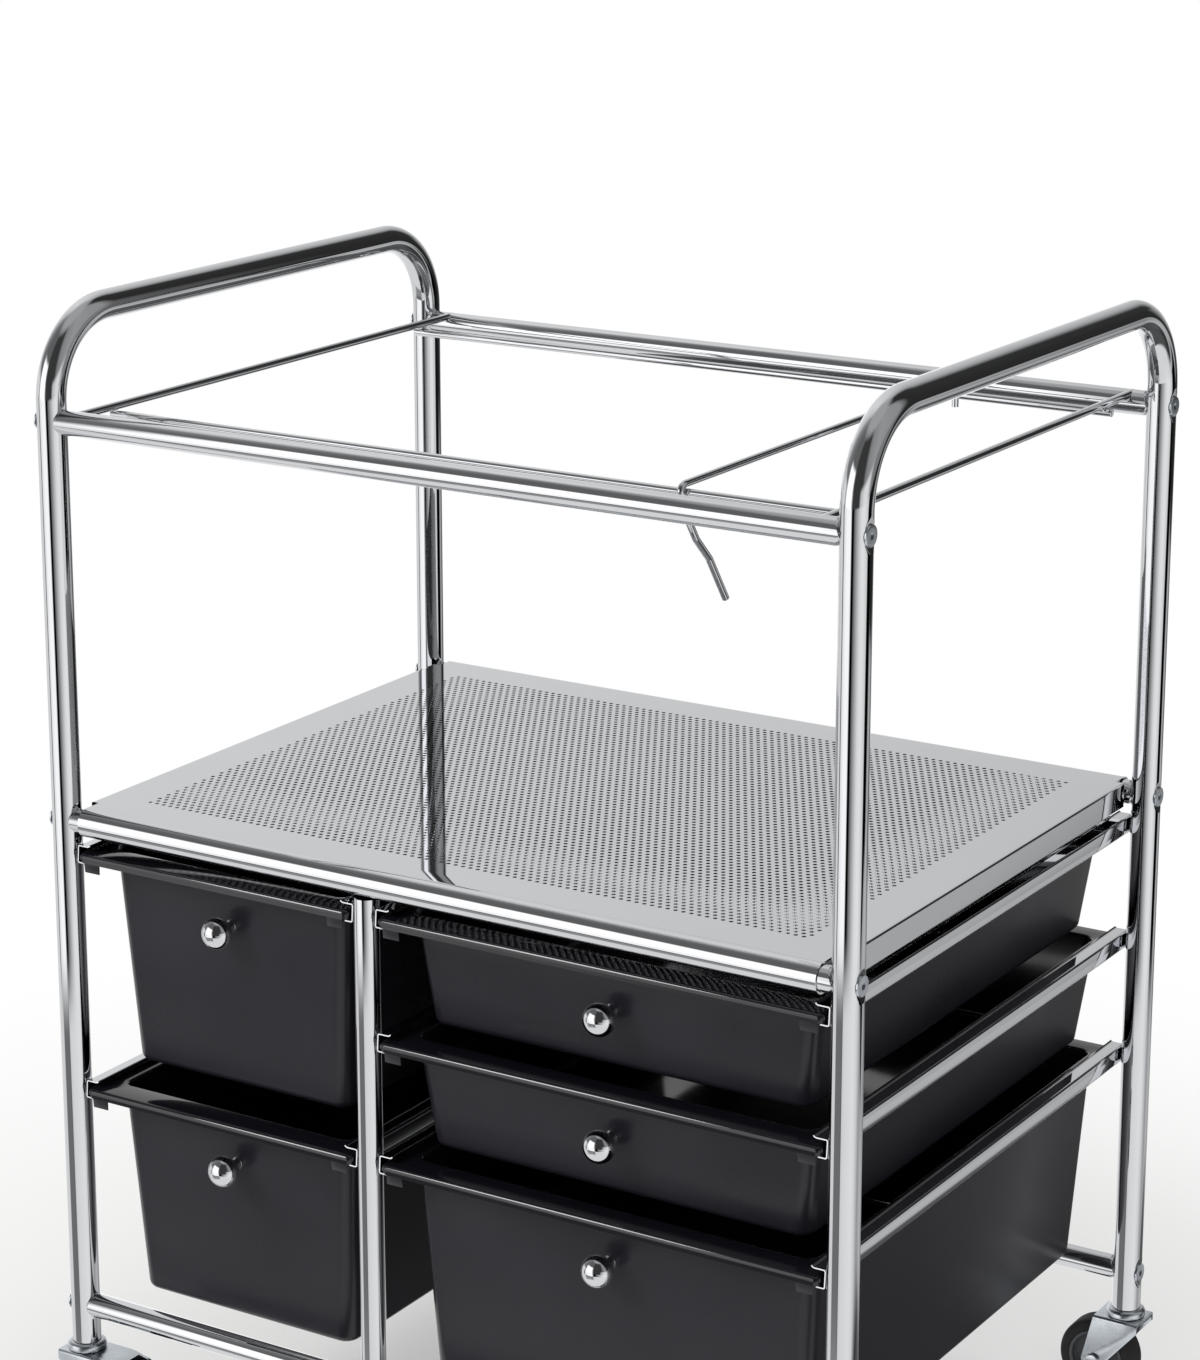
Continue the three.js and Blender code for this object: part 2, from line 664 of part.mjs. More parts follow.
// Hub with a boss on the axle, a thin web and a rim under the tyre
function hub() {
  const bore = (AXLE_D + 2 * SEAT) / 2;
  const rim = tyreSeatRadius();
  const rimIn = rim - DRAWER_WALL;
  const boss = HUB_BOSS_D / 2;
  const half = HUB_W / 2;
  const web = HUB_WEB_W / 2;
  const edge = TYRE_W / 2;
  const wheel = turned([
    [bore, -half],
    [boss, -half],
    [boss, -web],
    [rimIn, -web],
    [rimIn, -edge],
    [rim, -edge],
    [rim, edge],
    [rimIn, edge],
    [rimIn, web],
    [boss, web],
    [boss, half],
    [bore, half],
    [bore, -half],
  ], HUB_SIDES);
  return wheel.rotateX(Math.PI / 2);
}

// Brake lever: pedal, boss with a braking nose over the tyre, and pins in the fork's cheeks
function brakeLever() {
  const pivot = leverPivot();
  const nose = LEVER_PIVOT_ANGLE + Math.PI + LEVER_NOSE_LEAD;
  const outline = new THREE.Shape();
  outline.moveTo(0, LEVER_BOSS_R);
  outline.absarc(0, 0, LEVER_BOSS_R, Math.PI / 2, nose - Math.PI / 4, false);
  outline.lineTo(LEVER_NOSE_R * Math.cos(nose), LEVER_NOSE_R * Math.sin(nose));
  outline.lineTo(LEVER_BOSS_R, -LEVER_BOSS_R / 2);
  outline.lineTo(LEVER_PEDAL, LEVER_PEDAL_RISE - LEVER_PEDAL_T / 2);
  outline.absarc(LEVER_PEDAL, LEVER_PEDAL_RISE, LEVER_PEDAL_T / 2, -Math.PI / 2, Math.PI / 2, false);
  const lever = extrude(outline, LEVER_W, 'y', 8);
  const pin = rod(LEVER_PIN_D, HUB_W + 2 * FORK_GAP + 2 * FORK_GAUGE, 'y', PIN_SIDES);
  return join(lever, pin).translate(pivot.x, 0, pivot.y);
}

const cart = new THREE.Group();

cart.add(mesh('left_side_frame', sideFrame(-POST_X), CHROME));
cart.add(mesh('right_side_frame', sideFrame(POST_X), CHROME));

for (const [end, y] of [['front', -POST_Y], ['rear', POST_Y]]) {
  for (const [level, z] of [['rack', RACK_Z], ['shelf', SHELF_Z], ['base', BASE_Z]]) {
    const tube = mesh(`${level}_${end}_tube`, crossTube(), CHROME);
    tube.position.set(0, y, z);
    cart.add(tube);
  }
  const post = mesh(`mid_${end}_post`, midPost(), CHROME);
  post.position.set(MID_POST_X, y, 0);
  cart.add(post);
  const wireLength = 2 * (ROD_X + FILE_WIRE_END);
  const wire = mesh(`${end}_file_wire`, rod(FILE_WIRE_D, wireLength, 'x', WIRE_SIDES), CHROME);
  wire.position.set(0, Math.sign(y) * WIRE_Y, WIRE_Z);
  cart.add(wire);
}

for (const [side, x] of [['left', -ROD_X], ['right', ROD_X]]) {
  const bar = mesh(`${side}_file_rod`, fileRod(), CHROME);
  bar.position.set(x, 0, RACK_Z);
  cart.add(bar);
}

const slider = mesh('sliding_file_bar', fileBar(), CHROME);
slider.position.x = BAR_X;
cart.add(slider);

const pan = mesh('shelf_pan', shelfPan(), PRESSED_CHROME);
pan.position.z = SHELF_Z;
cart.add(pan);

for (const { name, column, row, units } of DRAWERS) {
  const [webLeft, webRight] = COLUMNS[column];
  const leftRunner = mesh(`${name}_left_runner`, runner(), CHROME);
  leftRunner.position.set(webLeft, 0, runnerZ(row));
  const rightRunner = mesh(`${name}_right_runner`, runner(), CHROME);
  rightRunner.position.set(webRight, 0, runnerZ(row));
  rightRunner.rotation.z = Math.PI;

  const rimZ = runnerZ(row) + RIM_TOP_OVER_RUNNER;
  const tub = mesh(`${name}_drawer`, drawerTub(column, units), BLACK_PLASTIC);
  tub.position.z = rimZ;

  const slope = Math.atan2(DRAFT_FRONT, drawerDepth(units) - FLOOR_FILLET - DRAWER_WALL);
  const faceY = RIM_FRONT_Y + RIM_FRONT + (KNOB_DROP - DRAWER_WALL) * Math.tan(slope);
  const pull = mesh(`${name}_knob`, knob(), CHROME);
  pull.position.set((webLeft + webRight) / 2, faceY - SEAT, rimZ - KNOB_DROP);
  pull.rotation.x = Math.PI / 2 + slope;
  cart.add(leftRunner, rightRunner, tub, pull);
}

for (const [end, y] of [['front', -POST_Y], ['rear', POST_Y]]) {
  for (const [side, x] of [['left', -POST_X], ['right', POST_X]]) {
    const braked = end === 'front';
    const name = `${end}_${side}_caster`;
    const caster = new THREE.Group();
    caster.position.set(x, y, 0);
    caster.rotation.z = x < 0 ? 0 : Math.PI;
    caster.add(mesh(`${name}_stem`, casterStem(), ZINC));
    caster.add(mesh(`${name}_fork`, casterFork(braked), ZINC));
    const wheel = new THREE.Group();
    wheel.position.set(TRAIL, 0, WHEEL_D / 2);
    wheel.add(mesh(`${name}_axle`, casterAxle(), ZINC));
    wheel.add(mesh(`${name}_hub`, hub(), GREY_NYLON));
    wheel.add(mesh(`${name}_tyre`, tyre(), BLACK_RUBBER));
    caster.add(wheel);
    if (braked) {
      caster.add(mesh(`${name}_brake_lever`, brakeLever(), BLACK_PLASTIC));
    }
    cart.add(caster);
  }
}

export default cart;
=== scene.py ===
"""Visual model of a mobile file cart.

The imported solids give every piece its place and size. Each piece is modelled again at full detail, gets
the finish of the real material and rides on the body that its solid belongs to.
"""

from __future__ import annotations

import json
import logging
import math
from collections.abc import Callable, Sequence
from dataclasses import dataclass
from enum import Enum

import bmesh
import bpy
from mathutils import Euler, Matrix, Vector

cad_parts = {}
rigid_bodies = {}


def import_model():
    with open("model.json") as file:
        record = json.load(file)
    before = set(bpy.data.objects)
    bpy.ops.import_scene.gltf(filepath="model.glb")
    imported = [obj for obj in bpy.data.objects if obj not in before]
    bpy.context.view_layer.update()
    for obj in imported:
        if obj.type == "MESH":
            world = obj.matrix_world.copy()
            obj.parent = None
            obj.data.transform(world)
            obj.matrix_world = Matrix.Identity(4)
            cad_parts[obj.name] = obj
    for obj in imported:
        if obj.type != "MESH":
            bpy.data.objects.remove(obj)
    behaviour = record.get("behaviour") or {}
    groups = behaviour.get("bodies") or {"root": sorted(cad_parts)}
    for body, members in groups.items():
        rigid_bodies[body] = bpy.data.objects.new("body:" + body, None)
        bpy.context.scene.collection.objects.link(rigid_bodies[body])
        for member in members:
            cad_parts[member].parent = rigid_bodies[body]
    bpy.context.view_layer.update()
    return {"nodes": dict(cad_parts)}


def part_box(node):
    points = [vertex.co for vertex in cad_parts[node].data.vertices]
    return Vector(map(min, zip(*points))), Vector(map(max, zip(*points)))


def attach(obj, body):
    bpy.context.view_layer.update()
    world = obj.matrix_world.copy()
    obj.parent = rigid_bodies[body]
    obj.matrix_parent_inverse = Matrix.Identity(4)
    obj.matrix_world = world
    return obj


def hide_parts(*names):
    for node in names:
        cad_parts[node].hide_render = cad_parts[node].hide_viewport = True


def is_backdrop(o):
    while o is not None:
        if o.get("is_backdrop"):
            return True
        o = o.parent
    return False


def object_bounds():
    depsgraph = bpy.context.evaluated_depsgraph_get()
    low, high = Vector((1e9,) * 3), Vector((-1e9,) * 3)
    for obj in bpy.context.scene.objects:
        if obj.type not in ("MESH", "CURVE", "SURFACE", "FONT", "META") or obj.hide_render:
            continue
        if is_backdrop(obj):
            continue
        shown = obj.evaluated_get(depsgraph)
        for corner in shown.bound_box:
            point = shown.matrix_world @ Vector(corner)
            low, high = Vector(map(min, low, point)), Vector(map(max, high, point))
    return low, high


LOG = logging.getLogger("file_cart")

MM = 0.001

# Height of the photograph's frame, and the sensor side that Blender measures the lens by
FRAME_H_PX = 1360
SENSOR_MM = 36.0

# Edges sharper than this stay crisp when a piece is shaded smooth
SMOOTH_ANGLE = math.radians(32)
# Edges of a pressing or a lever sharper than this are rounded
SHARP_ANGLE = math.radians(42)
QUARTER = math.pi / 2
# Places this close together count as one when edges and faces are picked
HAIR = 0.01 * MM
# Vertices this close together are merged: in a mesh made here, and in a copy of a solid
MERGE_GAP = 0.002 * MM
SOLID_GAP = 0.005 * MM
# Faces of a solid that turn less than this are joined up
FLAT_TURN = math.radians(1)
# A bend turns more than this, and in at least so many steps
LEAST_TURN = 1e-4
LEAST_STEPS = 3

WHITE = (1.0, 1.0, 1.0, 1.0)
# Colour sockets of a mix node
MIX_FIRST, MIX_SECOND, MIX_RESULT = 6, 7, 2

CROSS_LEVELS = ("base", "shelf", "rack")
DRAWER_NAMES = ("left_upper", "left_lower", "right_upper", "right_middle", "right_lower")


# Radius and height of the stations of a turned piece
Profile = list[tuple[float, float]]
# A fixed row of pairs of numbers
Pairs = tuple[tuple[float, float], ...]


class Side(Enum):
    """A side of the cart, seen from the drawer fronts."""

    LEFT = "left"
    RIGHT = "right"

    @property
    def sign(self) -> int:
        """Direction of this side along X."""
        return -1 if self is Side.LEFT else 1


class End(Enum):
    """The drawer-front end or the rear end of the cart."""

    FRONT = "front"
    REAR = "rear"

    @property
    def sign(self) -> int:
        """Direction of this end along Y."""
        return -1 if self is End.FRONT else 1


class Element(Enum):
    """What a selection in edit mode is made of."""

    VERT = "verts"
    EDGE = "edges"
    FACE = "faces"


class Axis(Enum):
    """The way a turned or extruded piece grows, as the turn that brings +Z there."""

    UP = (0.0, 0.0, 0.0)
    RIGHT = (0.0, QUARTER, 0.0)
    REARWARD = (-QUARTER, 0.0, 0.0)


def linear(code: str) -> tuple[float, float, float, float]:
    """Turn an sRGB hex value into a linear colour.

    Args:
        code: Six hex digits, such as "1D1D20".

    Returns:
        Linear red, green and blue, with alpha 1.
    """
    channels = [int(code[i : i + 2], 16) / 255 for i in (0, 2, 4)]
    red, green, blue = (
        c / 12.92 if c <= 0.04045 else ((c + 0.055) / 1.055) ** 2.4 for c in channels
    )
    return red, green, blue, 1.0


def add_node(
    tree: bpy.types.NodeTree, kind: str, inputs: dict | None = None, **settings: object
) -> bpy.types.Node:
    """Add a node with its settings, and set or link its inputs.

    Args:
        tree: The node tree to add to.
        kind: The node's type name.
        inputs: Values or output sockets by input name or number.
        **settings: Attributes of the node.

    Returns:
        The new node.
    """
    node = tree.nodes.new(kind)
    for name, value in settings.items():
        setattr(node, name, value)
    for key, value in (inputs or {}).items():
        if isinstance(value, bpy.types.NodeSocket):
            tree.links.new(value, node.inputs[key])
        else:
            node.inputs[key].default_value = value
    return node


def mix_colours(
    tree: bpy.types.NodeTree, share: bpy.types.NodeSocket, first: object, second: object
) -> bpy.types.NodeSocket:
    """Blend two colours, each given as a value or as an output socket.

    Args:
        tree: The node tree to add to.
        share: The share of the second colour.
        first: The first colour.
        second: The second colour.

    Returns:
        The blended colour.
    """
    inputs = {"Factor": share, MIX_FIRST: first, MIX_SECOND: second}
    return add_node(tree, "ShaderNodeMix", inputs, data_type="RGBA").outputs[MIX_RESULT]


def new_material(name: str) -> tuple[bpy.types.Material, bpy.types.NodeTree]:
    """Make an empty node material.

    Args:
        name: The material's name.

    Returns:
        The material and its cleared node tree.
    """
    material = bpy.data.materials.new(name)
    material.use_nodes = True
    material.node_tree.nodes.clear()
    return material, material.node_tree


@dataclass(frozen=True)
class Texture:
    """How a kind of surface varies: the noise of its patches and of its relief, and its share of metal."""

    patch_detail: float
    patch_rough: float
    patch_low: float
    patch_high: float
    relief_detail: float
    relief_rough: float
    metallic: float


# Bright plating follows the steel under it, so reflections wander, and handling leaves softer patches
PLATING = Texture(5.0, 0.6, 0.35, 0.75, 2.0, 0.5, 1.0)
# A moulding shifts a little in shade where it flowed, and its fine eroded grain breaks up highlights
MOULDING = Texture(4.0, 0.5, 0.3, 0.7, 3.0, 0.65, 0.0)


@dataclass(frozen=True)
class Finish:
    """The finish of a surface, whose shade and gloss drift in patches over a shallow relief."""

    name: str
    texture: Texture
    colour: str
    tint: str
    gloss: float
    haze: float
    patch_mm: float
    relief_mm: float
    relief_depth_mm: float
    ior: float = 1.5

    def material(self) -> bpy.types.Material:
        """Build the material.

        Returns:
            The material, made once for each finish.
        """
        made = bpy.data.materials.get(self.name)
        if made:
            return made
        made, tree = new_material(self.name)
        kind = self.texture
        patches = self.noise(tree, self.patch_mm, kind.patch_detail, kind.patch_rough)
        relief = self.noise(tree, self.relief_mm, kind.relief_detail, kind.relief_rough)
        roughness = add_node(
            tree,
            "ShaderNodeMapRange",
            {"Value": patches, "From Min": kind.patch_low, "From Max": kind.patch_high,
             "To Min": self.gloss, "To Max": self.haze},
        )
        bump = add_node(
            tree,
            "ShaderNodeBump",
            {"Height": relief, "Strength": 1.0, "Distance": self.relief_depth_mm * MM},
        )
        shader = add_node(
            tree,
            "ShaderNodeBsdfPrincipled",
            {"Base Color": mix_colours(tree, patches, linear(self.colour), linear(self.tint)),
             "Roughness": roughness.outputs["Result"], "Normal": bump.outputs["Normal"],
             "Metallic": kind.metallic, "IOR": self.ior},
        )
        add_node(tree, "ShaderNodeOutputMaterial", {"Surface": shader.outputs["BSDF"]})
        return made

    @staticmethod
    def noise(
        tree: bpy.types.NodeTree, feature_mm: float, detail: float, rough: float
    ) -> bpy.types.NodeSocket:
        """Add a noise that keeps to the piece.

        Args:
            tree: The node tree to add to.
            feature_mm: Size of its features.
            detail: How many finer layers it has.
            rough: How strong the finer layers are.

        Returns:
            Its value.
        """
        place = add_node(tree, "ShaderNodeTexCoord").outputs["Object"]
        inputs = {"Vector": place, "Scale": 1 / (feature_mm * MM), "Detail": detail, "Roughness": rough}
        return add_node(tree, "ShaderNodeTexNoise", inputs).outputs["Fac"]


# Decorative chrome over nickel on drawn tube: near-mirror, with long soft ripples
CHROME_TUBE = Finish("chrome_plated_tube", PLATING, "DCDDDF", "D6D8DB", 0.012, 0.04, 60.0, 45.0, 0.01)
# The same plating on rolled sheet, which is flatter but less even than tube
CHROME_SHEET = Finish("chrome_plated_sheet", PLATING, "DADBDD", "D3D5D8", 0.02, 0.06, 80.0, 60.0, 0.02)
# Bright zinc on fasteners and caster pressings: bluish and softer than chrome
ZINC_PLATE = Finish("bright_zinc_plate", PLATING, "D3D9DF", "C4C9CE", 0.2, 0.34, 9.0, 2.5, 0.01)
# Black polypropylene from a lightly eroded mould: satin, with a cool cast
BLACK_POLYPROPYLENE = Finish(
    "moulded_black_polypropylene", MOULDING, "1D1B21", "222027", 0.26, 0.34, 70.0, 0.9, 0.004, 1.46
)
# The same plastic where the mould is polished, on the rim and inside: glossy enough to mirror the runners
POLISHED_POLYPROPYLENE = Finish(
    "polished_black_polypropylene", MOULDING, "100F14", "15141A", 0.05, 0.1, 50.0, 2.0, 0.002, 1.58
)
# Grey nylon wheel centres
GREY_NYLON = Finish("moulded_grey_nylon", MOULDING, "4A4C50", "53555A", 0.42, 0.55, 20.0, 0.7, 0.01, 1.53)
# Black rubber tyres, dull with a little dust
BLACK_RUBBER = Finish("black_tyre_rubber", MOULDING, "1A1A1B", "232324", 0.68, 0.85, 14.0, 0.8, 0.03, 1.52)


def middle_of(node: str) -> Vector:
    """Middle of a solid's box."""
    low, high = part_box(node)
    return (low + high) / 2


class Workpiece:
    """One mesh on the bench: modelled with operators, then dressed and set on its body."""

    def __init__(self, name: str, add: Callable[..., object], **settings: object) -> None:
        """Add a primitive at its place and open it in edit mode, all selected.

        Args:
            name: The piece's name.
            add: The operator that adds the primitive.
            **settings: The operator's settings.
        """
        self.rest_all()
        add(**settings)
        self.obj = bpy.context.object
        self.obj.name = self.obj.data.name = name
        bpy.ops.object.transform_apply(location=True, rotation=True, scale=True)
        self.edit()
        bpy.ops.mesh.select_all(action="SELECT")

    @classmethod
    def sheet(cls, name: str, centre: Vector, size: Vector, turn: Axis = Axis.UP) -> Workpiece:
        """Start from a flat rectangle.

        Args:
            name: The piece's name.
            centre: Middle of the rectangle.
            size: Its size along each axis, with 1 across it.
            turn: The way that it faces.

        Returns:
            The workpiece, in edit mode.
        """
        piece = cls(name, bpy.ops.mesh.primitive_plane_add, size=1, location=centre, rotation=turn.value)
        piece.resize(size, centre)
        return piece

    @staticmethod
    def rest_all() -> None:
        """Leave edit mode and deselect everything."""
        if bpy.context.mode != "OBJECT":
            bpy.ops.object.mode_set(mode="OBJECT")
        bpy.ops.object.select_all(action="DESELECT")

    @classmethod
    def adopt(cls, name: str, obj: bpy.types.Object) -> Workpiece:
        """Take up an object that is there already.

        Args:
            name: The piece's name.
            obj: The object.

        Returns:
            The workpiece, out of edit mode.
        """
        piece = cls.__new__(cls)
        piece.obj = obj
        obj.name = obj.data.name = name
        return piece

    @classmethod
    def twin(cls, name: str, model: bpy.types.Object) -> Workpiece:
        """Take up a copy of an object, with a mesh of its own.

        Args:
            name: The copy's name.
            model: The object that is copied.

        Returns:
            The workpiece, out of edit mode.
        """
        cls.rest_all()
        obj = model.copy()
        obj.data = model.data.copy()
        bpy.context.scene.collection.objects.link(obj)
        return cls.adopt(name, obj)

    @classmethod
    def from_node(cls, name: str, node: bpy.types.Object) -> Workpiece:
        """Start from a merged copy of a solid whose shape is already right.

        Args:
            name: The piece's name.
            node: The solid's object.

        Returns:
            The workpiece, in edit mode with flat faces joined up.
        """
        piece = cls.twin(name, node)
        for key in list(piece.obj.keys()):
            del piece.obj[key]
        piece.obj.parent = None
        piece.edit()
        bpy.ops.mesh.select_all(action="SELECT")
        bpy.ops.mesh.remove_doubles(threshold=SOLID_GAP)
        bpy.ops.mesh.dissolve_limited(angle_limit=FLAT_TURN)
        return piece

    def edit(self) -> None:
        """Make this the only selected object and open it in edit mode."""
        self.rest_all()
        self.obj.select_set(True)
        bpy.context.view_layer.objects.active = self.obj
        bpy.ops.object.mode_set(mode="EDIT")

    def select(self, element: Element, test: Callable[[Vector], bool]) -> None:
        """Select elements by the place of their middle.

        Args:
            element: Vertices, edges or faces.
            test: True for a middle that is wanted.
        """
        bpy.ops.mesh.select_mode(type=element.name)
        bpy.ops.mesh.select_all(action="DESELECT")
        grid = bmesh.from_edit_mesh(self.obj.data)
        for item in getattr(grid, element.value):
            if element is Element.VERT:
                middle = item.co
            elif element is Element.EDGE:
                middle = (item.verts[0].co + item.verts[1].co) / 2
            else:
                middle = item.calc_center_median()
            item.select_set(test(middle))
        grid.select_flush_mode()
        bmesh.update_edit_mesh(self.obj.data)

    def extrude(self, offset: Vector) -> None:
        """Extrude what is selected and move it."""
        bpy.ops.mesh.extrude_region_move(TRANSFORM_OT_translate={"value": offset})

    def spin(self, angle: float, steps: int, centre: Vector, axis: Vector) -> None:
        """Sweep what is selected round an axis, anticlockwise seen against it."""
        bpy.ops.mesh.spin(steps=steps, angle=-angle, center=centre, axis=axis)

    def resize(self, factors: Vector, centre: Vector) -> None:
        """Scale what is selected about a point."""
        bpy.ops.transform.resize(value=factors, center_override=centre)

    def reshape(self, move: Callable[[Vector], None], selected_only: bool = False) -> None:
        """Move vertices one by one.

        Args:
            move: Changes the place of a vertex.
            selected_only: True to leave the vertices alone that are not selected.
        """
        grid = bmesh.from_edit_mesh(self.obj.data)
        for vert in grid.verts:
            if vert.select or not selected_only:
                move(vert.co)
        bmesh.update_edit_mesh(self.obj.data)

    def discard(self) -> None:
        """Take a pattern piece off the bench once its copies are made."""
        self.rest_all()
        bpy.data.objects.remove(self.obj)

    def bevel(self, width: float, segments: int) -> None:
        """Round the selected edges."""
        bpy.ops.mesh.bevel(offset=width, segments=segments, affect="EDGES", clamp_overlap=True)

    def close(self) -> None:
        """Merge doubles and point all faces outwards."""
        bpy.ops.mesh.select_mode(type="VERT")
        bpy.ops.mesh.select_all(action="SELECT")
        bpy.ops.mesh.remove_doubles(threshold=MERGE_GAP)
        bpy.ops.mesh.normals_make_consistent(inside=False)

    def thicken(self, gauge: float, place: Vector, outward: Vector) -> None:
        """Give an open sheet its thickness, away from its outer face.

        Args:
            gauge: Thickness of the sheet.
            place: A point on its outer face.
            outward: The way that the outer face looks there.
        """
        self.close()
        grid = bmesh.from_edit_mesh(self.obj.data)
        nearest = min(grid.faces, key=lambda face: (face.calc_center_median() - place).length)
        if nearest.normal.dot(outward) < 0:
            bpy.ops.mesh.flip_normals()
        self.modify("SOLIDIFY", thickness=gauge, offset=-1.0, use_even_offset=True)

    def modify(self, kind: str, **settings: object) -> None:
        """Add a modifier and apply it.

        Args:
            kind: The modifier's type.
            **settings: Its settings.
        """
        bpy.ops.object.mode_set(mode="OBJECT")
        modifier = self.obj.modifiers.new(kind.lower(), kind)
        for key, value in settings.items():
            setattr(modifier, key, value)
        bpy.ops.object.modifier_apply(modifier=modifier.name)
        bpy.ops.object.mode_set(mode="EDIT")

    def copy(self, name: str, place: Matrix) -> Workpiece:
        """Copy the piece to another place.

        Args:
            name: The copy's name.
            place: Where the copy goes, from this piece's place.

        Returns:
            The copy, out of edit mode.
        """
        piece = self.twin(name, self.obj)
        piece.obj.data.transform(place)
        return piece

    def dress(self, finish: Finish, slot: str, body: str, *replaced: str) -> None:
        """Finish the piece and set it on its body.

        Args:
            finish: The finish of its surface.
            slot: The record's material slot; not used.
            body: The body that it moves with.
            *replaced: The solids that it stands for.
        """
        self.rest_all()
        self.obj.select_set(True)
        bpy.context.view_layer.objects.active = self.obj
        bpy.ops.object.shade_smooth_by_angle(angle=SMOOTH_ANGLE)
        self.obj.data.materials.clear()
        self.obj.data.materials.append(finish.material())
        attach(self.obj, body)
        if replaced:
            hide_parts(*replaced)
        self.obj.select_set(False)
        LOG.info("%s rides on %s with %d faces", self.obj.name, body, len(self.obj.data.polygons))


def rounded_corner(radius: float, height: float, soft: float, steps: int) -> Profile:
    """Round the outer corner of a turned piece.

    Args:
        radius: Radius of the piece below the corner.
        height: Height of its top.
        soft: Radius of the rounding.
        steps: Facets of the rounding.

    Returns:
        Stations from the side of the piece up to its top.
    """
    angles = [QUARTER * step / steps for step in range(steps + 1)]
    return [(radius - soft * (1 - math.cos(a)), height - soft * (1 - math.sin(a))) for a in angles]


def mirrored(side: Profile) -> Profile:
    """Add the other half of a profile that is the same above and below height 0."""
    return [(radius, -height) for radius, height in side] + side[::-1]


def turned(
    name: str, profile: Profile, sides: int, foot: Vector, axis: Axis, ring: bool = False
) -> Workpiece:
    """Turn a piece by growing a round end from station to station.

    Args:
        name: The piece's name.
        profile: Radius and height of each station, from the foot.
        sides: Facets round the piece.
        foot: Where height 0 is.
        axis: The way that height grows.
        ring: True to close the profile on itself round a hole.

    Returns:
        The closed workpiece, in edit mode.
    """
    along = Vector((0.0, 0.0, 1.0))
    along.rotate(Euler(axis.value))
    radius, height = profile[0]
    piece = Workpiece(
        name,
        bpy.ops.mesh.primitive_circle_add,
        vertices=sides,
        radius=radius,
        fill_type="NOTHING" if ring else "NGON",
        location=foot + along * height,
        rotation=axis.value,
    )
    for next_radius, next_height in profile[1:] + (profile[:1] if ring else []):
        piece.extrude(along * (next_height - height))
        piece.resize(Vector((1.0, 1.0, 1.0)) * (next_radius / radius), foot + along * next_height)
        radius, height = next_radius, next_height
    piece.close()
    return piece


def bent_tube(
    name: str,
    radius: float,
    sides: int,
    corners: Sequence[Vector],
    bends: Sequence[float] = (0.0,),
    step: float = math.radians(4),
) -> Workpiece:
    """Draw a round tube through corners, rounding each one where the line turns.

    Args:
        name: The piece's name.
        radius: Outside radius of the tube.
        sides: Facets round the tube.
        corners: Points of its centre line, where a point on a straight only adds a ring.
        bends: Bend radius at each inner corner.
        step: Largest turn between two rings of a bend.

    Returns:
        The closed workpiece, in edit mode.
    """
    heading = (corners[1] - corners[0]).normalized()
    piece = Workpiece(
        name,
        bpy.ops.mesh.primitive_circle_add,
        vertices=sides,
        radius=radius,
        fill_type="NOTHING",
        location=corners[0],
        rotation=heading.to_track_quat("Z", "Y").to_euler(),
    )
    place = corners[0]
    for corner, after, bend in zip(corners[1:-1], corners[2:], bends):
        onward = (after - corner).normalized()
        turn = heading.angle(onward)
        setback = bend * math.tan(turn / 2)
        piece.extrude(corner - heading * setback - place)
        if turn > LEAST_TURN:
            axis = heading.cross(onward).normalized()
            centre = corner - heading * setback + axis.cross(heading) * bend
            piece.spin(turn, max(LEAST_STEPS, math.ceil(turn / step)), centre, axis)
        place = corner + onward * setback
        heading = onward
    piece.extrude(corners[-1] - place)
    bpy.ops.mesh.select_all(action="SELECT")
    bpy.ops.mesh.fill_holes(sides=0)
    piece.close()
    return piece


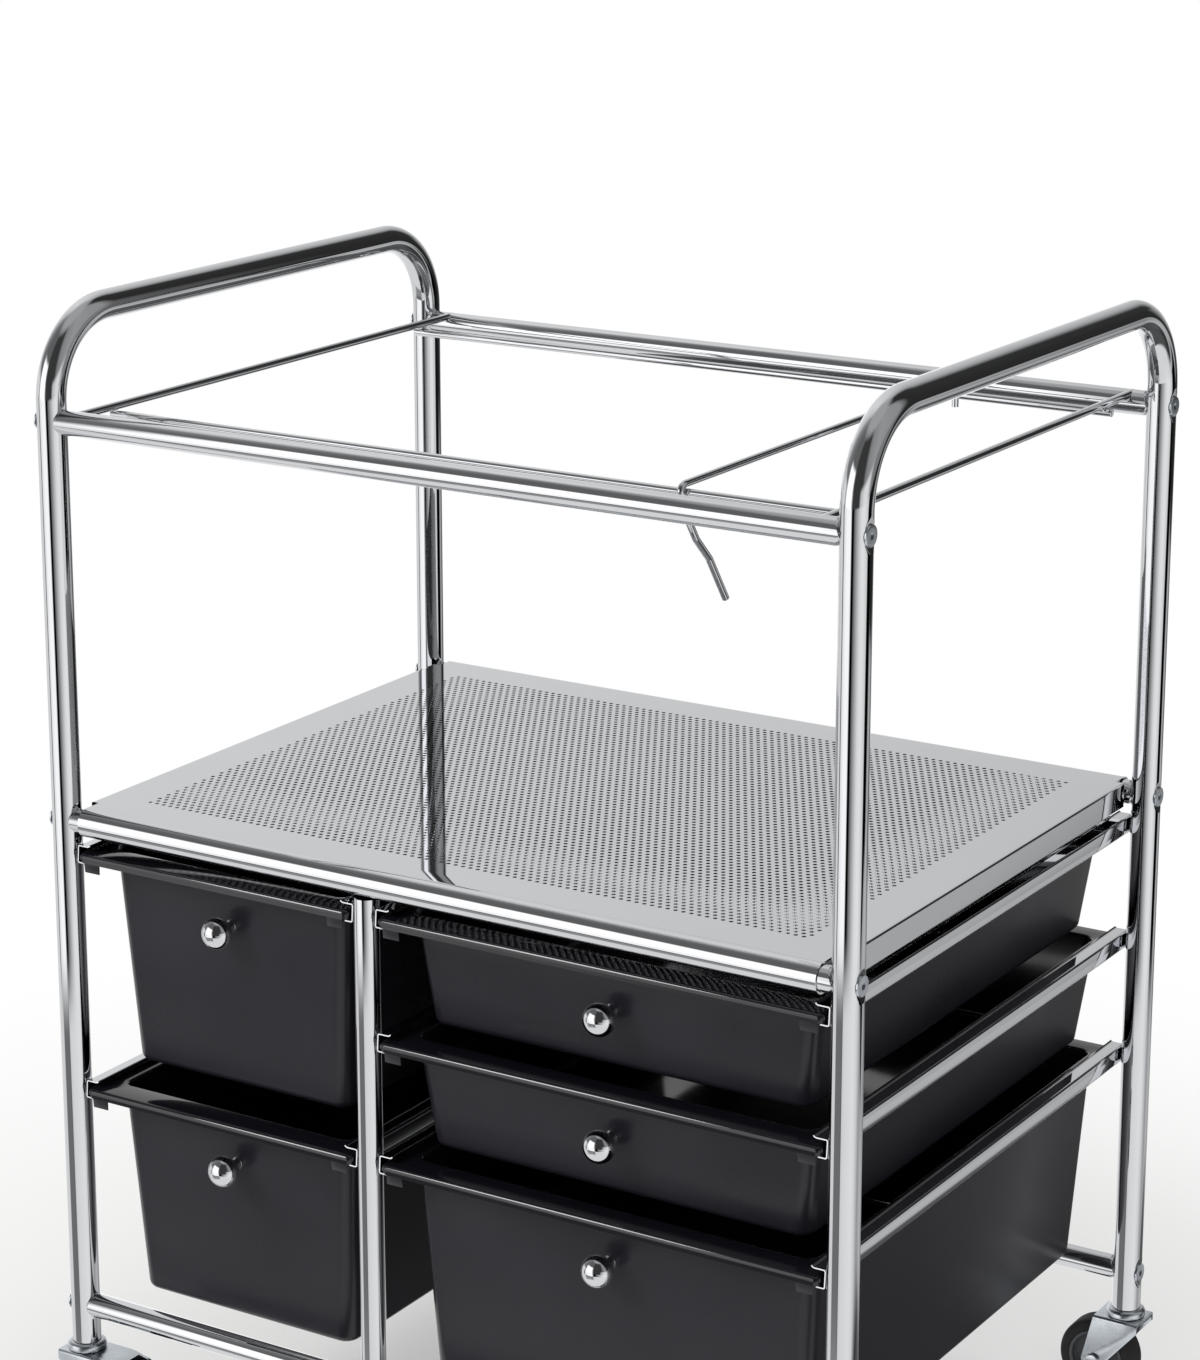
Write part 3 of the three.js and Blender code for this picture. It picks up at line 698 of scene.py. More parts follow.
@dataclass
class BoltSeats:
    """Where the frame is bolted: its posts are pressed flat there, with a button-head bolt in each dent."""

    seat_depth: float = 1.3 * MM
    seat_half: float = 4.8 * MM
    ramp: float = 5.2 * MM
    head_radius: float = 6.1 * MM
    head_height: float = 1.2 * MM
    head_round: float = 0.45 * MM
    head_steps: int = 5
    face_radius: float = 3.6 * MM
    socket_radius: float = 2.4 * MM
    socket_depth: float = 0.9 * MM
    sides: int = 40

    @staticmethod
    def levels() -> list[float]:
        """Heights of the bolts, which run into the ends of the cross tubes."""
        return [middle_of(f"{level}_front_tube").z for level in CROSS_LEVELS]

    def press(self, piece: Workpiece, side: Side, axis_x: float, radius: float) -> None:
        """Press the dents into a side frame.

        Args:
            piece: The frame, in edit mode.
            side: Its side, whose outer face is dented.
            axis_x: Where its posts stand.
            radius: Outside radius of its tube.
        """
        levels = self.levels()

        def flatten(place: Vector) -> None:
            """Bring a vertex back to the floor of its dent."""
            reach = min(abs(place.z - level) for level in levels)
            rise = max(0.0, reach - self.seat_half) / self.ramp
            limit = radius - self.seat_depth * (1 - min(rise, 1.0))
            if (place.x - axis_x) * side.sign > limit:
                place.x = axis_x + side.sign * limit

        piece.reshape(flatten)

    def build(self) -> None:
        """Model one bolt and copy it to every dent."""
        corner = rounded_corner(self.head_radius, self.head_height, self.head_round, self.head_steps)
        profile = [(self.head_radius, 0.0), *corner, (self.face_radius, self.head_height)]
        bolt = turned("frame_bolt", profile, self.sides, Vector(), Axis.UP)
        self.sink_socket(bolt)
        for side in Side:
            low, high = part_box(f"{side.value}_side_frame")
            radius = (high.x - low.x) / 2
            seat_x = (low.x + high.x) / 2 + side.sign * (radius - self.seat_depth)
            turn = Matrix.Rotation(side.sign * QUARTER, 4, "Y")
            for end in End:
                post_y = low.y + radius if end is End.FRONT else high.y - radius
                for level, height in zip(CROSS_LEVELS, self.levels()):
                    place = Matrix.Translation((seat_x, post_y, height)) @ turn
                    twin = bolt.copy(f"{end.value}_{side.value}_{level}_bolt", place)
                    twin.dress(ZINC_PLATE, "zinc_steel", "frame")
        bolt.discard()

    def sink_socket(self, bolt: Workpiece) -> None:
        """Sink a hexagon socket into the head of the bolt."""
        top = self.head_height

        def within(reach: float) -> Callable[[Vector], bool]:
            """Make a test for middles on top of the head, within reach of its axis."""
            return lambda c: c.z > top - HAIR and c.xy.length < reach

        bpy.ops.mesh.select_all(action="DESELECT")
        bpy.ops.mesh.primitive_circle_add(
            vertices=6, radius=self.socket_radius, fill_type="NOTHING", location=(0, 0, top)
        )
        bolt.select(Element.FACE, within(HAIR))
        bpy.ops.mesh.delete(type="ONLY_FACE")
        bolt.select(Element.EDGE, within(self.face_radius + self.head_round))
        bpy.ops.mesh.fill(use_beauty=True)
        bolt.select(Element.EDGE, within(self.socket_radius))
        self.keep_loop(bolt)
        bolt.extrude(Vector((0, 0, -self.socket_depth)))
        bpy.ops.mesh.edge_face_add()
        bolt.close()

    @staticmethod
    def keep_loop(bolt: Workpiece) -> None:
        """Keep only the open edges of a selection."""
        grid = bmesh.from_edit_mesh(bolt.obj.data)
        for edge in grid.edges:
            if edge.select and len(edge.link_faces) != 1:
                edge.select_set(False)
        bmesh.update_edit_mesh(bolt.obj.data)


@dataclass
class TubeFrame:
    """The welded and bolted tube frame: two arched side frames, cross tubes and centre posts."""

    seats: BoltSeats
    bend_radius: float = 50 * MM
    post_sides: int = 64
    tube_sides: int = 48
    ring_gap: float = 0.9 * MM
    lip: float = 1.5 * MM
    lip_gap: float = 0.4 * MM
    sink: float = 2.5 * MM

    def build(self) -> None:
        """Model and dress the whole frame."""
        for side in Side:
            self.build_side(side)
        for end in End:
            for level in CROSS_LEVELS:
                self.build_cross_tube(end, level)
            self.build_centre_post(end)
        self.seats.build()

    def post_stations(self, foot: float, top: float) -> list[float]:
        """Heights of the rings of a post, close together where it is dented."""
        stations = [foot]
        reach = self.seats.seat_half + self.seats.ramp
        rings = math.ceil(2 * reach / self.ring_gap)
        for level in self.seats.levels():
            stations += [level - reach + 2 * reach * i / rings for i in range(rings + 1)]
        return [z for z in stations if foot <= z < top]

    def build_side(self, side: Side) -> None:
        """Bend one side frame from a single tube."""
        node = f"{side.value}_side_frame"
        low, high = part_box(node)
        x, radius = (low.x + high.x) / 2, (high.x - low.x) / 2
        front, rear, handle = low.y + radius, high.y - radius, high.z - radius
        rings = self.post_stations(low.z, handle - self.bend_radius)
        corners = [Vector((x, front, z)) for z in rings]
        corners += [Vector((x, front, handle)), Vector((x, rear, handle))]
        corners += [Vector((x, rear, z)) for z in reversed(rings)]
        bends = [self.bend_radius] * (len(corners) - 2)
        piece = bent_tube(f"{side.value}_frame_tube", radius, self.post_sides, corners, bends)
        self.seats.press(piece, side, x, radius)
        piece.dress(CHROME_TUBE, "chrome_tube", "frame", node)

    def build_cross_tube(self, end: End, level: str) -> None:
        """Run one cross tube from post to post, its ends scooped to fit round them, with rounded lips."""
        node = f"{level}_{end.value}_tube"
        low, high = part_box(node)
        middle, radius = (low + high) / 2, (high.z - low.z) / 2
        post_low, post_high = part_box("right_side_frame")
        post_x = (post_low.x + post_high.x) / 2
        scoop = (post_high.x - post_low.x) / 2 + self.lip_gap
        ends = [Vector((x, middle.y, middle.z)) for x in (scoop - post_x, middle.x, post_x - scoop)]
        piece = bent_tube(f"{end.value}_{level}_rail", radius, self.tube_sides, ends)

        def scoop_out(place: Vector) -> None:
            """Bring a vertex of an end to the gap round its post."""
            if abs(place.x) > radius:
                reach = math.sqrt(scoop**2 - (place.y - middle.y) ** 2)
                place.x = math.copysign(post_x - reach, place.x)

        piece.reshape(scoop_out)
        piece.select(Element.EDGE, lambda c: abs(c.x) > post_x - scoop - self.lip_gap)
        piece.bevel(self.lip, segments=3)
        piece.dress(CHROME_TUBE, "chrome_tube", "frame", node)

    def build_centre_post(self, end: End) -> None:
        """Stand one centre post on its base tube."""
        node = f"mid_{end.value}_post"
        low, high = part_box(node)
        middle, radius = (low + high) / 2, (high.x - low.x) / 2
        ends = [Vector((middle.x, middle.y, z)) for z in (low.z - self.sink, middle.z, high.z)]
        piece = bent_tube(f"{end.value}_centre_post", radius, self.tube_sides, ends)
        piece.dress(CHROME_TUBE, "chrome_tube", "frame", node)


@dataclass
class FileRack:
    """Rods, wires and the sliding bar that hanging folders are hooked over."""

    sides: int = 24
    bend_step: float = math.radians(6)
    sink: float = 4 * MM
    tip_round: float = 0.6 * MM
    bar_bend: float = 5 * MM
    bar_kink: float = 8 * MM
    bar_tail: Pairs = (
        (0.5 * MM, 8.5 * MM), (16.5 * MM, 24 * MM), (14 * MM, 13.5 * MM), (18.5 * MM, 26.5 * MM)
    )
    bar_hook: float = 14 * MM

    def build(self) -> None:
        """Model and dress the rack."""
        for side in Side:
            node = f"{side.value}_file_rod"
            rod = self.draw_rod(f"{side.value}_rack_rod", node, Vector((0, 1, 0)), self.sink)
            rod.dress(CHROME_TUBE, "chrome_tube", "frame", node)
        for end in End:
            node = f"{end.value}_file_wire"
            wire = self.draw_rod(f"{end.value}_rack_wire", node, Vector((1, 0, 0)), 0.0)
            self.round_tips(wire, *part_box(node))
            wire.dress(CHROME_TUBE, "chrome_tube", "frame", node)
        self.build_bar()

    def draw_rod(self, name: str, node: str, along: Vector, extra: float) -> Workpiece:
        """Draw a straight rod in place of a solid.

        Args:
            name: The piece's name.
            node: The solid.
            along: The axis that it lies along.
            extra: How much further than the solid it reaches at either end.

        Returns:
            The rod, in edit mode.
        """
        low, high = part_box(node)
        middle, half = (low + high) / 2, (high - low) / 2
        reach = along * (half.dot(along) + extra)
        return bent_tube(name, min(half.xy), self.sides, [middle - reach, middle, middle + reach])

    def round_tips(self, wire: Workpiece, low: Vector, high: Vector) -> None:
        """Round the cut ends of a wire."""
        wire.select(Element.EDGE, lambda c: min(c.x - low.x, high.x - c.x) < HAIR)
        wire.bevel(self.tip_round, segments=3)

    def build_bar(self) -> None:
        """Bend the sliding bar, with its hook behind and its kinked tail in front."""
        low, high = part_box("sliding_file_bar")
        x, radius = (low.x + high.x) / 2, (high.x - low.x) / 2
        rear, front, top = high.y - radius, low.y + radius, high.z - radius
        corners = [Vector((x, rear, top - self.bar_hook)), Vector((x, rear, top)), Vector((x, front, top))]
        for run, drop in self.bar_tail:
            corners.append(corners[-1] + Vector((0.0, run, -drop)))
        bends = [self.bar_bend] * 2 + [self.bar_kink] * (len(self.bar_tail) - 1)
        piece = bent_tube("sliding_bar", radius, self.sides, corners, bends, self.bend_step)
        piece.dress(CHROME_TUBE, "chrome_tube", "file_bar", "sliding_file_bar")


@dataclass
class PerforatedShelf:
    """The perforated shelf: rolled round the cross tubes in front and behind, folded down at its sides."""

    gauge: float = 1 * MM
    pitch: float = 5 * MM
    hole_radius: float = 1.3 * MM
    columns: int = 90
    row_pairs: int = 38
    strips: int = 4
    corner_x: float = 15 * MM
    corner_y: float = 2.5 * MM
    fold_radius: float = 1.2 * MM
    fold_steps: int = 6
    flange: float = 15 * MM
    hem: float = 4 * MM
    roll_steps: int = 24
    weld: float = 0.02 * MM

    def build(self) -> None:
        """Model and dress the deck, its rolls and its folds."""
        _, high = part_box("shelf_pan")
        post_low, post_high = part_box("right_side_frame")
        post = (post_high.x - post_low.x) / 2
        deck = Vector((high.x - self.fold_radius, post_high.y - 2 * post - self.corner_y, high.z))
        roll_x = (post_low.x + post_high.x) / 2 - self.corner_x
        self.build_deck(deck - Vector((2 * self.gauge, 0, 0)))
        for end in End:
            self.build_roll(end, deck, roll_x)
        for side in Side:
            self.build_fold(side, deck)

    def dress(self, piece: Workpiece) -> None:
        """Finish one piece of the shelf."""
        piece.dress(CHROME_SHEET, "chrome_sheet", "frame", "shelf_pan")

    def punch_cell(self, centre: Vector) -> Workpiece:
        """Draw one six-sided cell of the sheet with a round hole in its middle.

        Args:
            centre: Middle of the cell.

        Returns:
            The cell, in edit mode.
        """
        reach = self.pitch / math.sqrt(3)
        flat = math.cos(math.pi / 6)
        cell = Workpiece(
            "shelf_deck", bpy.ops.mesh.primitive_circle_add,
            vertices=12, radius=reach, fill_type="NOTHING", location=centre,
        )

        def on_side(place: Vector) -> bool:
            """Tell the middle of a side of the cell from its corners."""
            turn = math.degrees(math.atan2(place.y - centre.y, place.x - centre.x)) % 60
            return min(turn, 60 - turn) < 15

        cell.select(Element.VERT, on_side)
        cell.resize(Vector((flat, flat, 1)), centre)
        cell.select(Element.EDGE, lambda c: True)
        cell.extrude(Vector())
        factor = self.hole_radius / reach
        cell.resize(Vector((factor, factor, 1)), centre)
        cell.select(Element.VERT, lambda c: on_side(c) and (c - centre).length < self.hole_radius * 1.01)
        cell.resize(Vector((1 / flat, 1 / flat, 1)), centre)
        return cell

    def build_deck(self, deck: Vector) -> None:
        """Punch the field of staggered holes and fill the plain border round it.

        Args:
            deck: Half width, half depth and height of the deck.
        """
        row = self.pitch * math.sqrt(3) / 2
        first_x = -(self.columns - 0.5) * self.pitch / 2
        first_y = -(2 * self.row_pairs - 1) * row / 2
        field = self.punch_cell(Vector((first_x, first_y, deck.z)))
        bpy.ops.mesh.select_all(action="SELECT")
        bpy.ops.mesh.duplicate_move(TRANSFORM_OT_translate={"value": (self.pitch / 2, row, 0)})
        for count, step in ((self.columns, (self.pitch, 0, 0)), (self.row_pairs, (0, 2 * row, 0))):
            field.modify(
                "ARRAY", count=count, use_relative_offset=False, use_constant_offset=True,
                constant_offset_displace=step, use_merge_vertices=True, merge_threshold=self.weld,
            )
        bpy.ops.mesh.select_all(action="SELECT")
        bpy.ops.mesh.remove_doubles(threshold=self.weld)
        self.add_border(field, deck)
        for strip in self.cut_strips(field, deck.x):
            strip.edit()
            strip.thicken(self.gauge, Vector((0, 0, deck.z)), Vector((0, 0, 1)))
            self.dress(strip)

    def add_border(self, field: Workpiece, deck: Vector) -> None:
        """Carry the stepped edge of the field out to the straight edges of the deck.

        Args:
            field: The field of cells, in edit mode.
            deck: Half width, half depth and height of the deck.
        """
        bpy.ops.mesh.select_mode(type="EDGE")
        bpy.ops.mesh.select_all(action="DESELECT")
        grid = bmesh.from_edit_mesh(field.obj.data)
        longest_of_hole = self.hole_radius * 0.8
        for edge in grid.edges:
            if edge.is_boundary and edge.calc_length() > longest_of_hole:
                edge.select_set(True)
        bmesh.update_edit_mesh(field.obj.data)
        field.extrude(Vector())
        grid = bmesh.from_edit_mesh(field.obj.data)
        edge_verts = [vert for vert in grid.verts if vert.select]
        reach = Vector((max(v.co.x for v in edge_verts), max(v.co.y for v in edge_verts)))
        corners = [
            max(edge_verts, key=lambda v: v.co.x * side.sign + v.co.y * end.sign)
            for side in Side
            for end in End
        ]
        for vert in edge_verts:
            to_side = reach.x - abs(vert.co.x) < reach.y - abs(vert.co.y)
            if vert in corners or to_side:
                vert.co.x = math.copysign(deck.x, vert.co.x)
            if vert in corners or not to_side:
                vert.co.y = math.copysign(deck.y, vert.co.y)
        bmesh.update_edit_mesh(field.obj.data)

    def cut_strips(self, field: Workpiece, half: float) -> list[Workpiece]:
        """Part the deck into strips of equal width, to keep each mesh light.

        Args:
            field: The whole deck, in edit mode.
            half: Half the width of the deck.

        Returns:
            The strips, out of edit mode.
        """
        strips = [field]
        for number in range(1, self.strips):
            border = half - 2 * half * number / self.strips
            field.edit()
            field.select(Element.FACE, lambda c: c.x > border)
            bpy.ops.mesh.separate(type="SELECTED")
            field.rest_all()
            fresh = next(o for o in bpy.data.objects if o.name.startswith("shelf_deck."))
            strips.append(Workpiece.adopt(f"shelf_deck_{number}", fresh))
        return strips

    def build_roll(self, end: End, deck: Vector, half: float) -> None:
        """Roll one long edge of the sheet round its cross tube."""
        axis = middle_of(f"shelf_{end.value}_tube")
        start = Vector((0, end.sign * deck.y, deck.z))
        piece = Workpiece.sheet(
            f"shelf_{end.value}_roll", Vector((0, (start.y + axis.y) / 2, deck.z)),
            Vector((2 * half, abs(axis.y - start.y), 1)),
        )
        piece.select(Element.EDGE, lambda c: abs(c.y - axis.y) < HAIR)
        piece.spin(math.pi, self.roll_steps, Vector((0, axis.y, axis.z)), Vector((-end.sign, 0, 0)))
        piece.extrude(Vector((0, -end.sign * self.hem, 0)))
        piece.thicken(self.gauge, start, Vector((0, 0, 1)))
        self.dress(piece)

    def build_fold(self, side: Side, deck: Vector) -> None:
        """Fold one short edge of the sheet down beside the frame."""
        edge = side.sign * deck.x
        piece = Workpiece.sheet(
            f"shelf_{side.value}_fold", Vector((edge - side.sign * self.gauge, 0, deck.z)),
            Vector((2 * self.gauge, 2 * deck.y, 1)),
        )
        piece.select(Element.EDGE, lambda c: abs(c.x - edge) < HAIR)
        centre = Vector((edge, 0, deck.z - self.fold_radius))
        piece.spin(QUARTER, self.fold_steps, centre, Vector((0, side.sign, 0)))
        piece.extrude(Vector((0, 0, self.fold_radius - self.flange)))
        piece.thicken(self.gauge, Vector((edge, 0, deck.z)), Vector((0, 0, 1)))
        self.dress(piece)


@dataclass
class RunnerSet:
    """Channel runners for the drawers, rolled from strip with the tip of the upper lip curled up."""

    gauge: float = 0.7 * MM
    height: float = 11 * MM
    top_lip: float = 7.8 * MM
    low_lip: float = 7 * MM
    curl: float = 0.9 * MM
    bend: float = 1.3 * MM
    end_slant: float = math.radians(4.5)

    def build(self) -> None:
        """Model one runner and copy it to both sides of every drawer."""
        pattern = self.roll_strip()
        for name in DRAWER_NAMES:
            for side in Side:
                node = f"{name}_{side.value}_runner"
                low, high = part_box(node)
                web = low.x if side is Side.LEFT else high.x
                turn = Matrix.Rotation(0.0 if side is Side.LEFT else math.pi, 4, "Z")
                place = Matrix.Translation((web, (low.y + high.y) / 2, low.z + self.height / 2)) @ turn
                twin = pattern.copy(f"{name}_{side.value}_track", place)
                twin.dress(CHROME_TUBE, "chrome_tube", "frame", node)
        pattern.discard()

    def roll_strip(self) -> Workpiece:
        """Shape the strip at the origin, its web at X 0, its channel open towards +X and its ends slanted.

        Returns:
            The runner, in edit mode.
        """
        low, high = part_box(f"{DRAWER_NAMES[0]}_left_runner")
        half = self.height / 2
        piece = Workpiece.sheet(
            "runner_pattern", Vector(), Vector((1, high.y - low.y, self.height)), Axis.RIGHT
        )
        piece.select(Element.EDGE, lambda c: abs(c.z - half) < HAIR)
        piece.extrude(Vector((self.top_lip, 0, 0)))
        piece.extrude(Vector((self.curl, 0, self.curl)))
        piece.select(Element.EDGE, lambda c: abs(c.z + half) < HAIR)
        piece.extrude(Vector((self.low_lip, 0, 0)))
        piece.close()
        piece.select(Element.EDGE, lambda c: max(abs(c.x), abs(c.y), half - abs(c.z)) < HAIR)
        piece.bevel(self.bend, segments=4)
        piece.select(Element.EDGE, lambda c: max(abs(c.x - self.top_lip), abs(c.y)) < HAIR)
        piece.bevel(self.gauge, segments=3)
        piece.thicken(self.gauge, Vector(), Vector((-1, 0, 0)))

        def slant(place: Vector) -> None:
            """Set a vertex back from its end, more the higher it is."""
            place.y -= math.copysign((place.z + half) * math.tan(self.end_slant), place.y)

        piece.reshape(slant)
        return piece


@dataclass
class MouldedDrawer:
    """A drafted drawer tub, with a flanged rim that hangs in the runners and stop tabs in front of them."""

    name: str
    wall: float = 2 * MM
    flange_side: float = 12 * MM
    flange_front: float = 17 * MM
    flange_rear: float = 12 * MM
    draft_side: float = 8 * MM
    draft_front: float = 7 * MM
    draft_rear: float = 8 * MM
    body_corner: float = 8 * MM
    rim_corner: float = 4 * MM
    floor_round: float = 3 * MM
    inner_round: float = 1.4 * MM
    outer_round: float = 2.6 * MM
    bead: float = 3.5 * MM
    step: float = 0.6 * MM
    rim_height: float = 5.7 * MM
    tab_width: float = 11 * MM
    tab_inset: float = 0.9 * MM
    tab_thickness: float = 1.6 * MM
    tab_drop: float = 6 * MM
    tab_draft: float = 0.9 * MM
    tab_round: float = 0.5 * MM

    def __post_init__(self) -> None:
        """Read the drawer's place."""
        self.low, self.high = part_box(f"{self.name}_drawer")

    @property
    def size(self) -> tuple[int, ...]:
        """Outside size in tenths of a millimetre, which is the same for drawers of one mould."""
        return tuple(round(side / MM * 10) for side in self.high - self.low)

    def build(self, made: MouldedDrawer | None, tub: Workpiece | None) -> Workpiece:
        """Mould the tub, or copy one from the same mould.

        Args:
            made: A drawer that was moulded before, or None.
            tub: That drawer's tub.

        Returns:
            The tub, dressed.
        """
        if made and tub:
            piece = tub.copy(f"{self.name}_tub", Matrix.Translation(self.low - made.low))
        else:
            piece = self.mould()
        piece.dress(BLACK_POLYPROPYLENE, "black_plastic", f"{self.name}_drawer", f"{self.name}_drawer")
        self.polish_rim(piece)
        return piece

    def polish_rim(self, piece: Workpiece) -> None:
        """Give the rim and the inside the gloss of a polished mould."""
        mesh = piece.obj.data
        mesh.materials.append(POLISHED_POLYPROPYLENE.material())
        middle = (self.low + self.high) / 2
        for face in mesh.polygons:
            on_rim = face.center.z > self.high.z - self.rim_height
            inside = face.normal.dot(middle - face.center) > 0
            face.material_index = int(on_rim or inside)

    def mould(self) -> Workpiece:
        """Shape the tub from its floor up.

        Returns:
            The tub, in edit mode.
        """
        low, high, wall = self.low, self.high, self.wall
        mouth_low = low.xy + Vector((self.flange_side + wall, self.flange_front + wall))
        mouth_high = high.xy - Vector((self.flange_side + wall, self.flange_rear + wall))
        foot_low = mouth_low + Vector((self.draft_side, self.draft_front))
        foot_high = mouth_high - Vector((self.draft_side, self.draft_rear))
        foot, mouth = (foot_low + foot_high) / 2, (mouth_low + mouth_high) / 2
        foot_size, mouth_size = foot_high - foot_low, mouth_high - mouth_low
        floor, top = low.z + wall, high.z
        piece = Workpiece.sheet(
            f"{self.name}_tub", Vector((foot.x, foot.y, floor)), Vector((foot_size.x, foot_size.y, 1))
        )
        piece.extrude(Vector((mouth.x - foot.x, mouth.y - foot.y, top - floor)))
        factors = Vector((mouth_size.x / foot_size.x, mouth_size.y / foot_size.y, 1))
        piece.resize(factors, Vector((mouth.x, mouth.y, top)))
        bpy.ops.mesh.delete(type="ONLY_FACE")
        piece.select(Element.EDGE, lambda c: floor + HAIR < c.z < top - HAIR)
        piece.bevel(self.body_corner, segments=6)
        piece.select(Element.EDGE, lambda c: c.z < floor + HAIR)
        piece.bevel(self.floor_round, segments=4)
        piece.select(Element.EDGE, lambda c: c.z > top - HAIR)
        piece.extrude(Vector())
        self.flare(piece, mouth, mouth_size / 2)
        rim = (low.xy + high.xy) / 2
        half = (high.xy - low.xy) / 2
        piece.extrude(Vector((0, 0, -self.bead)))
        piece.extrude(Vector((0, 0, -self.step / 2)))
        piece.resize(
            Vector((1 - self.step / half.x, 1 - self.step / half.y, 1)),
            Vector((rim.x, rim.y, top - self.bead - self.step / 2)),
        )
        piece.extrude(Vector((0, 0, self.bead + self.step / 2 - self.rim_height)))
        inner = mouth_size / 2
        piece.select(
            Element.EDGE,
            lambda c: c.z > top - HAIR
            and max(abs(c.x - mouth.x) - inner.x, abs(c.y - mouth.y) - inner.y) < HAIR,
        )
        piece.bevel(self.inner_round, segments=3)
        piece.select(
            Element.EDGE,
            lambda c: c.z > top - HAIR
            and min(half.x - abs(c.x - rim.x), half.y - abs(c.y - rim.y)) < self.rim_corner,
        )
        piece.bevel(self.outer_round, segments=6)
        piece.thicken(wall, Vector((rim.x, low.y + self.flange_front / 2, top)), Vector((0, 0, 1)))
        self.add_tabs(piece)
        return piece

    def flare(self, piece: Workpiece, mouth: Vector, half: Vector) -> None:
        """Carry the selected loop from the mouth of the tub out to the edge of its rim.

        Args:
            piece: The tub, with the loop selected.
            mouth: Middle of the mouth.
            half: Half its size.
        """
        inner_half = half - Vector((self.body_corner, self.body_corner))
        soft = Vector((self.rim_corner, self.rim_corner))
        outer_low, outer_high = self.low.xy + soft, self.high.xy - soft

        def carry(place: Vector) -> None:
            """Move a vertex of the mouth to the edge of the rim, each corner about its own middle."""
            right, rear = place.x > mouth.x, place.y > mouth.y
            turn = Vector((1 if right else -1, 1 if rear else -1))
            outer = Vector((outer_high.x if right else outer_low.x, outer_high.y if rear else outer_low.y))
            place.xy = outer + (place.xy - mouth - inner_half * turn).normalized() * self.rim_corner

        piece.reshape(carry, selected_only=True)

    def add_tabs(self, piece: Workpiece) -> None:
        """Add the stop tabs that meet the ends of the runners."""
        depth = self.tab_drop + self.wall
        z = self.high.z - self.rim_height + self.wall - depth / 2
        y = self.low.y + self.tab_inset + self.tab_thickness / 2

        def lean(place: Vector) -> None:
            """Draft the front of a tab towards its foot."""
            if place.z < z and place.y < y:
                place.y += self.tab_draft

        for x in (self.low.x + self.rim_corner, self.high.x - self.rim_corner - self.tab_width):
            bpy.ops.mesh.select_all(action="DESELECT")
            centre = Vector((x + self.tab_width / 2, y, z))
            bpy.ops.mesh.primitive_cube_add(size=1, location=centre)
            piece.resize(Vector((self.tab_width, self.tab_thickness, depth)), centre)
            piece.reshape(lean, selected_only=True)
            piece.bevel(self.tab_round, segments=2)


@dataclass
class BallKnobs:
    """Turned ball knobs, one in the middle of each drawer front."""

    ball: float = 9.8 * MM
    ball_depth: float = 8.4 * MM
    reach: float = 13 * MM
    base: float = 4.3 * MM
    base_height: float = 0.5 * MM
    base_edge: float = 0.35 * MM
    base_taper: float = 0.97
    neck: float = 3.9 * MM
    tip: float = 0.02
    sides: int = 48
    ball_steps: int = 20
    neck_steps: int = 8
    rounding: float = 6 * MM
    draft: float = 7 * MM

    def build(self) -> None:
        """Turn one knob and copy it to every drawer, square to the slope of its front."""
        pattern = turned("knob_pattern", self.profile(), self.sides, Vector(), Axis.UP)
        for name in DRAWER_NAMES:
            low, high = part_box(f"{name}_knob")
            tub_low, tub_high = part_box(f"{name}_drawer")
            slope = math.atan2(self.draft, tub_high.z - tub_low.z - self.rounding)
            turn = Matrix.Rotation(QUARTER + slope, 4, "X")
            ball = Vector(((low.x + high.x) / 2, low.y + self.ball, (low.z + high.z) / 2))
            place = Matrix.Translation(ball) @ turn @ Matrix.Translation((0, 0, -self.reach))
            twin = pattern.copy(f"{name}_ball_knob", place)
            twin.dress(CHROME_TUBE, "chrome_knob", f"{name}_drawer", f"{name}_knob")
        pattern.discard()

    def profile(self) -> Profile:
        """Radius and height from the base, up the hollow neck and over the ball."""
        start = -math.acos(self.neck / self.ball)
        foot, shoulder = self.base_height, self.base * self.base_taper
        neck_rise = self.reach + self.ball_depth * math.sin(start) - foot
        stations = [(self.base, -foot), (self.base, self.base_edge), (shoulder, foot)]
        for step in range(1, self.neck_steps):
            angle = QUARTER * step / self.neck_steps
            radius = shoulder - (shoulder - self.neck) * math.sin(angle)
            stations.append((radius, foot + neck_rise * (1 - math.cos(angle))))
        for step in range(self.ball_steps):
            angle = start + (QUARTER - start) * step / self.ball_steps
            stations.append((self.ball * math.cos(angle), self.reach + self.ball_depth * math.sin(angle)))
        stations.append((self.ball * self.tip, self.reach + self.ball_depth))
        return stations


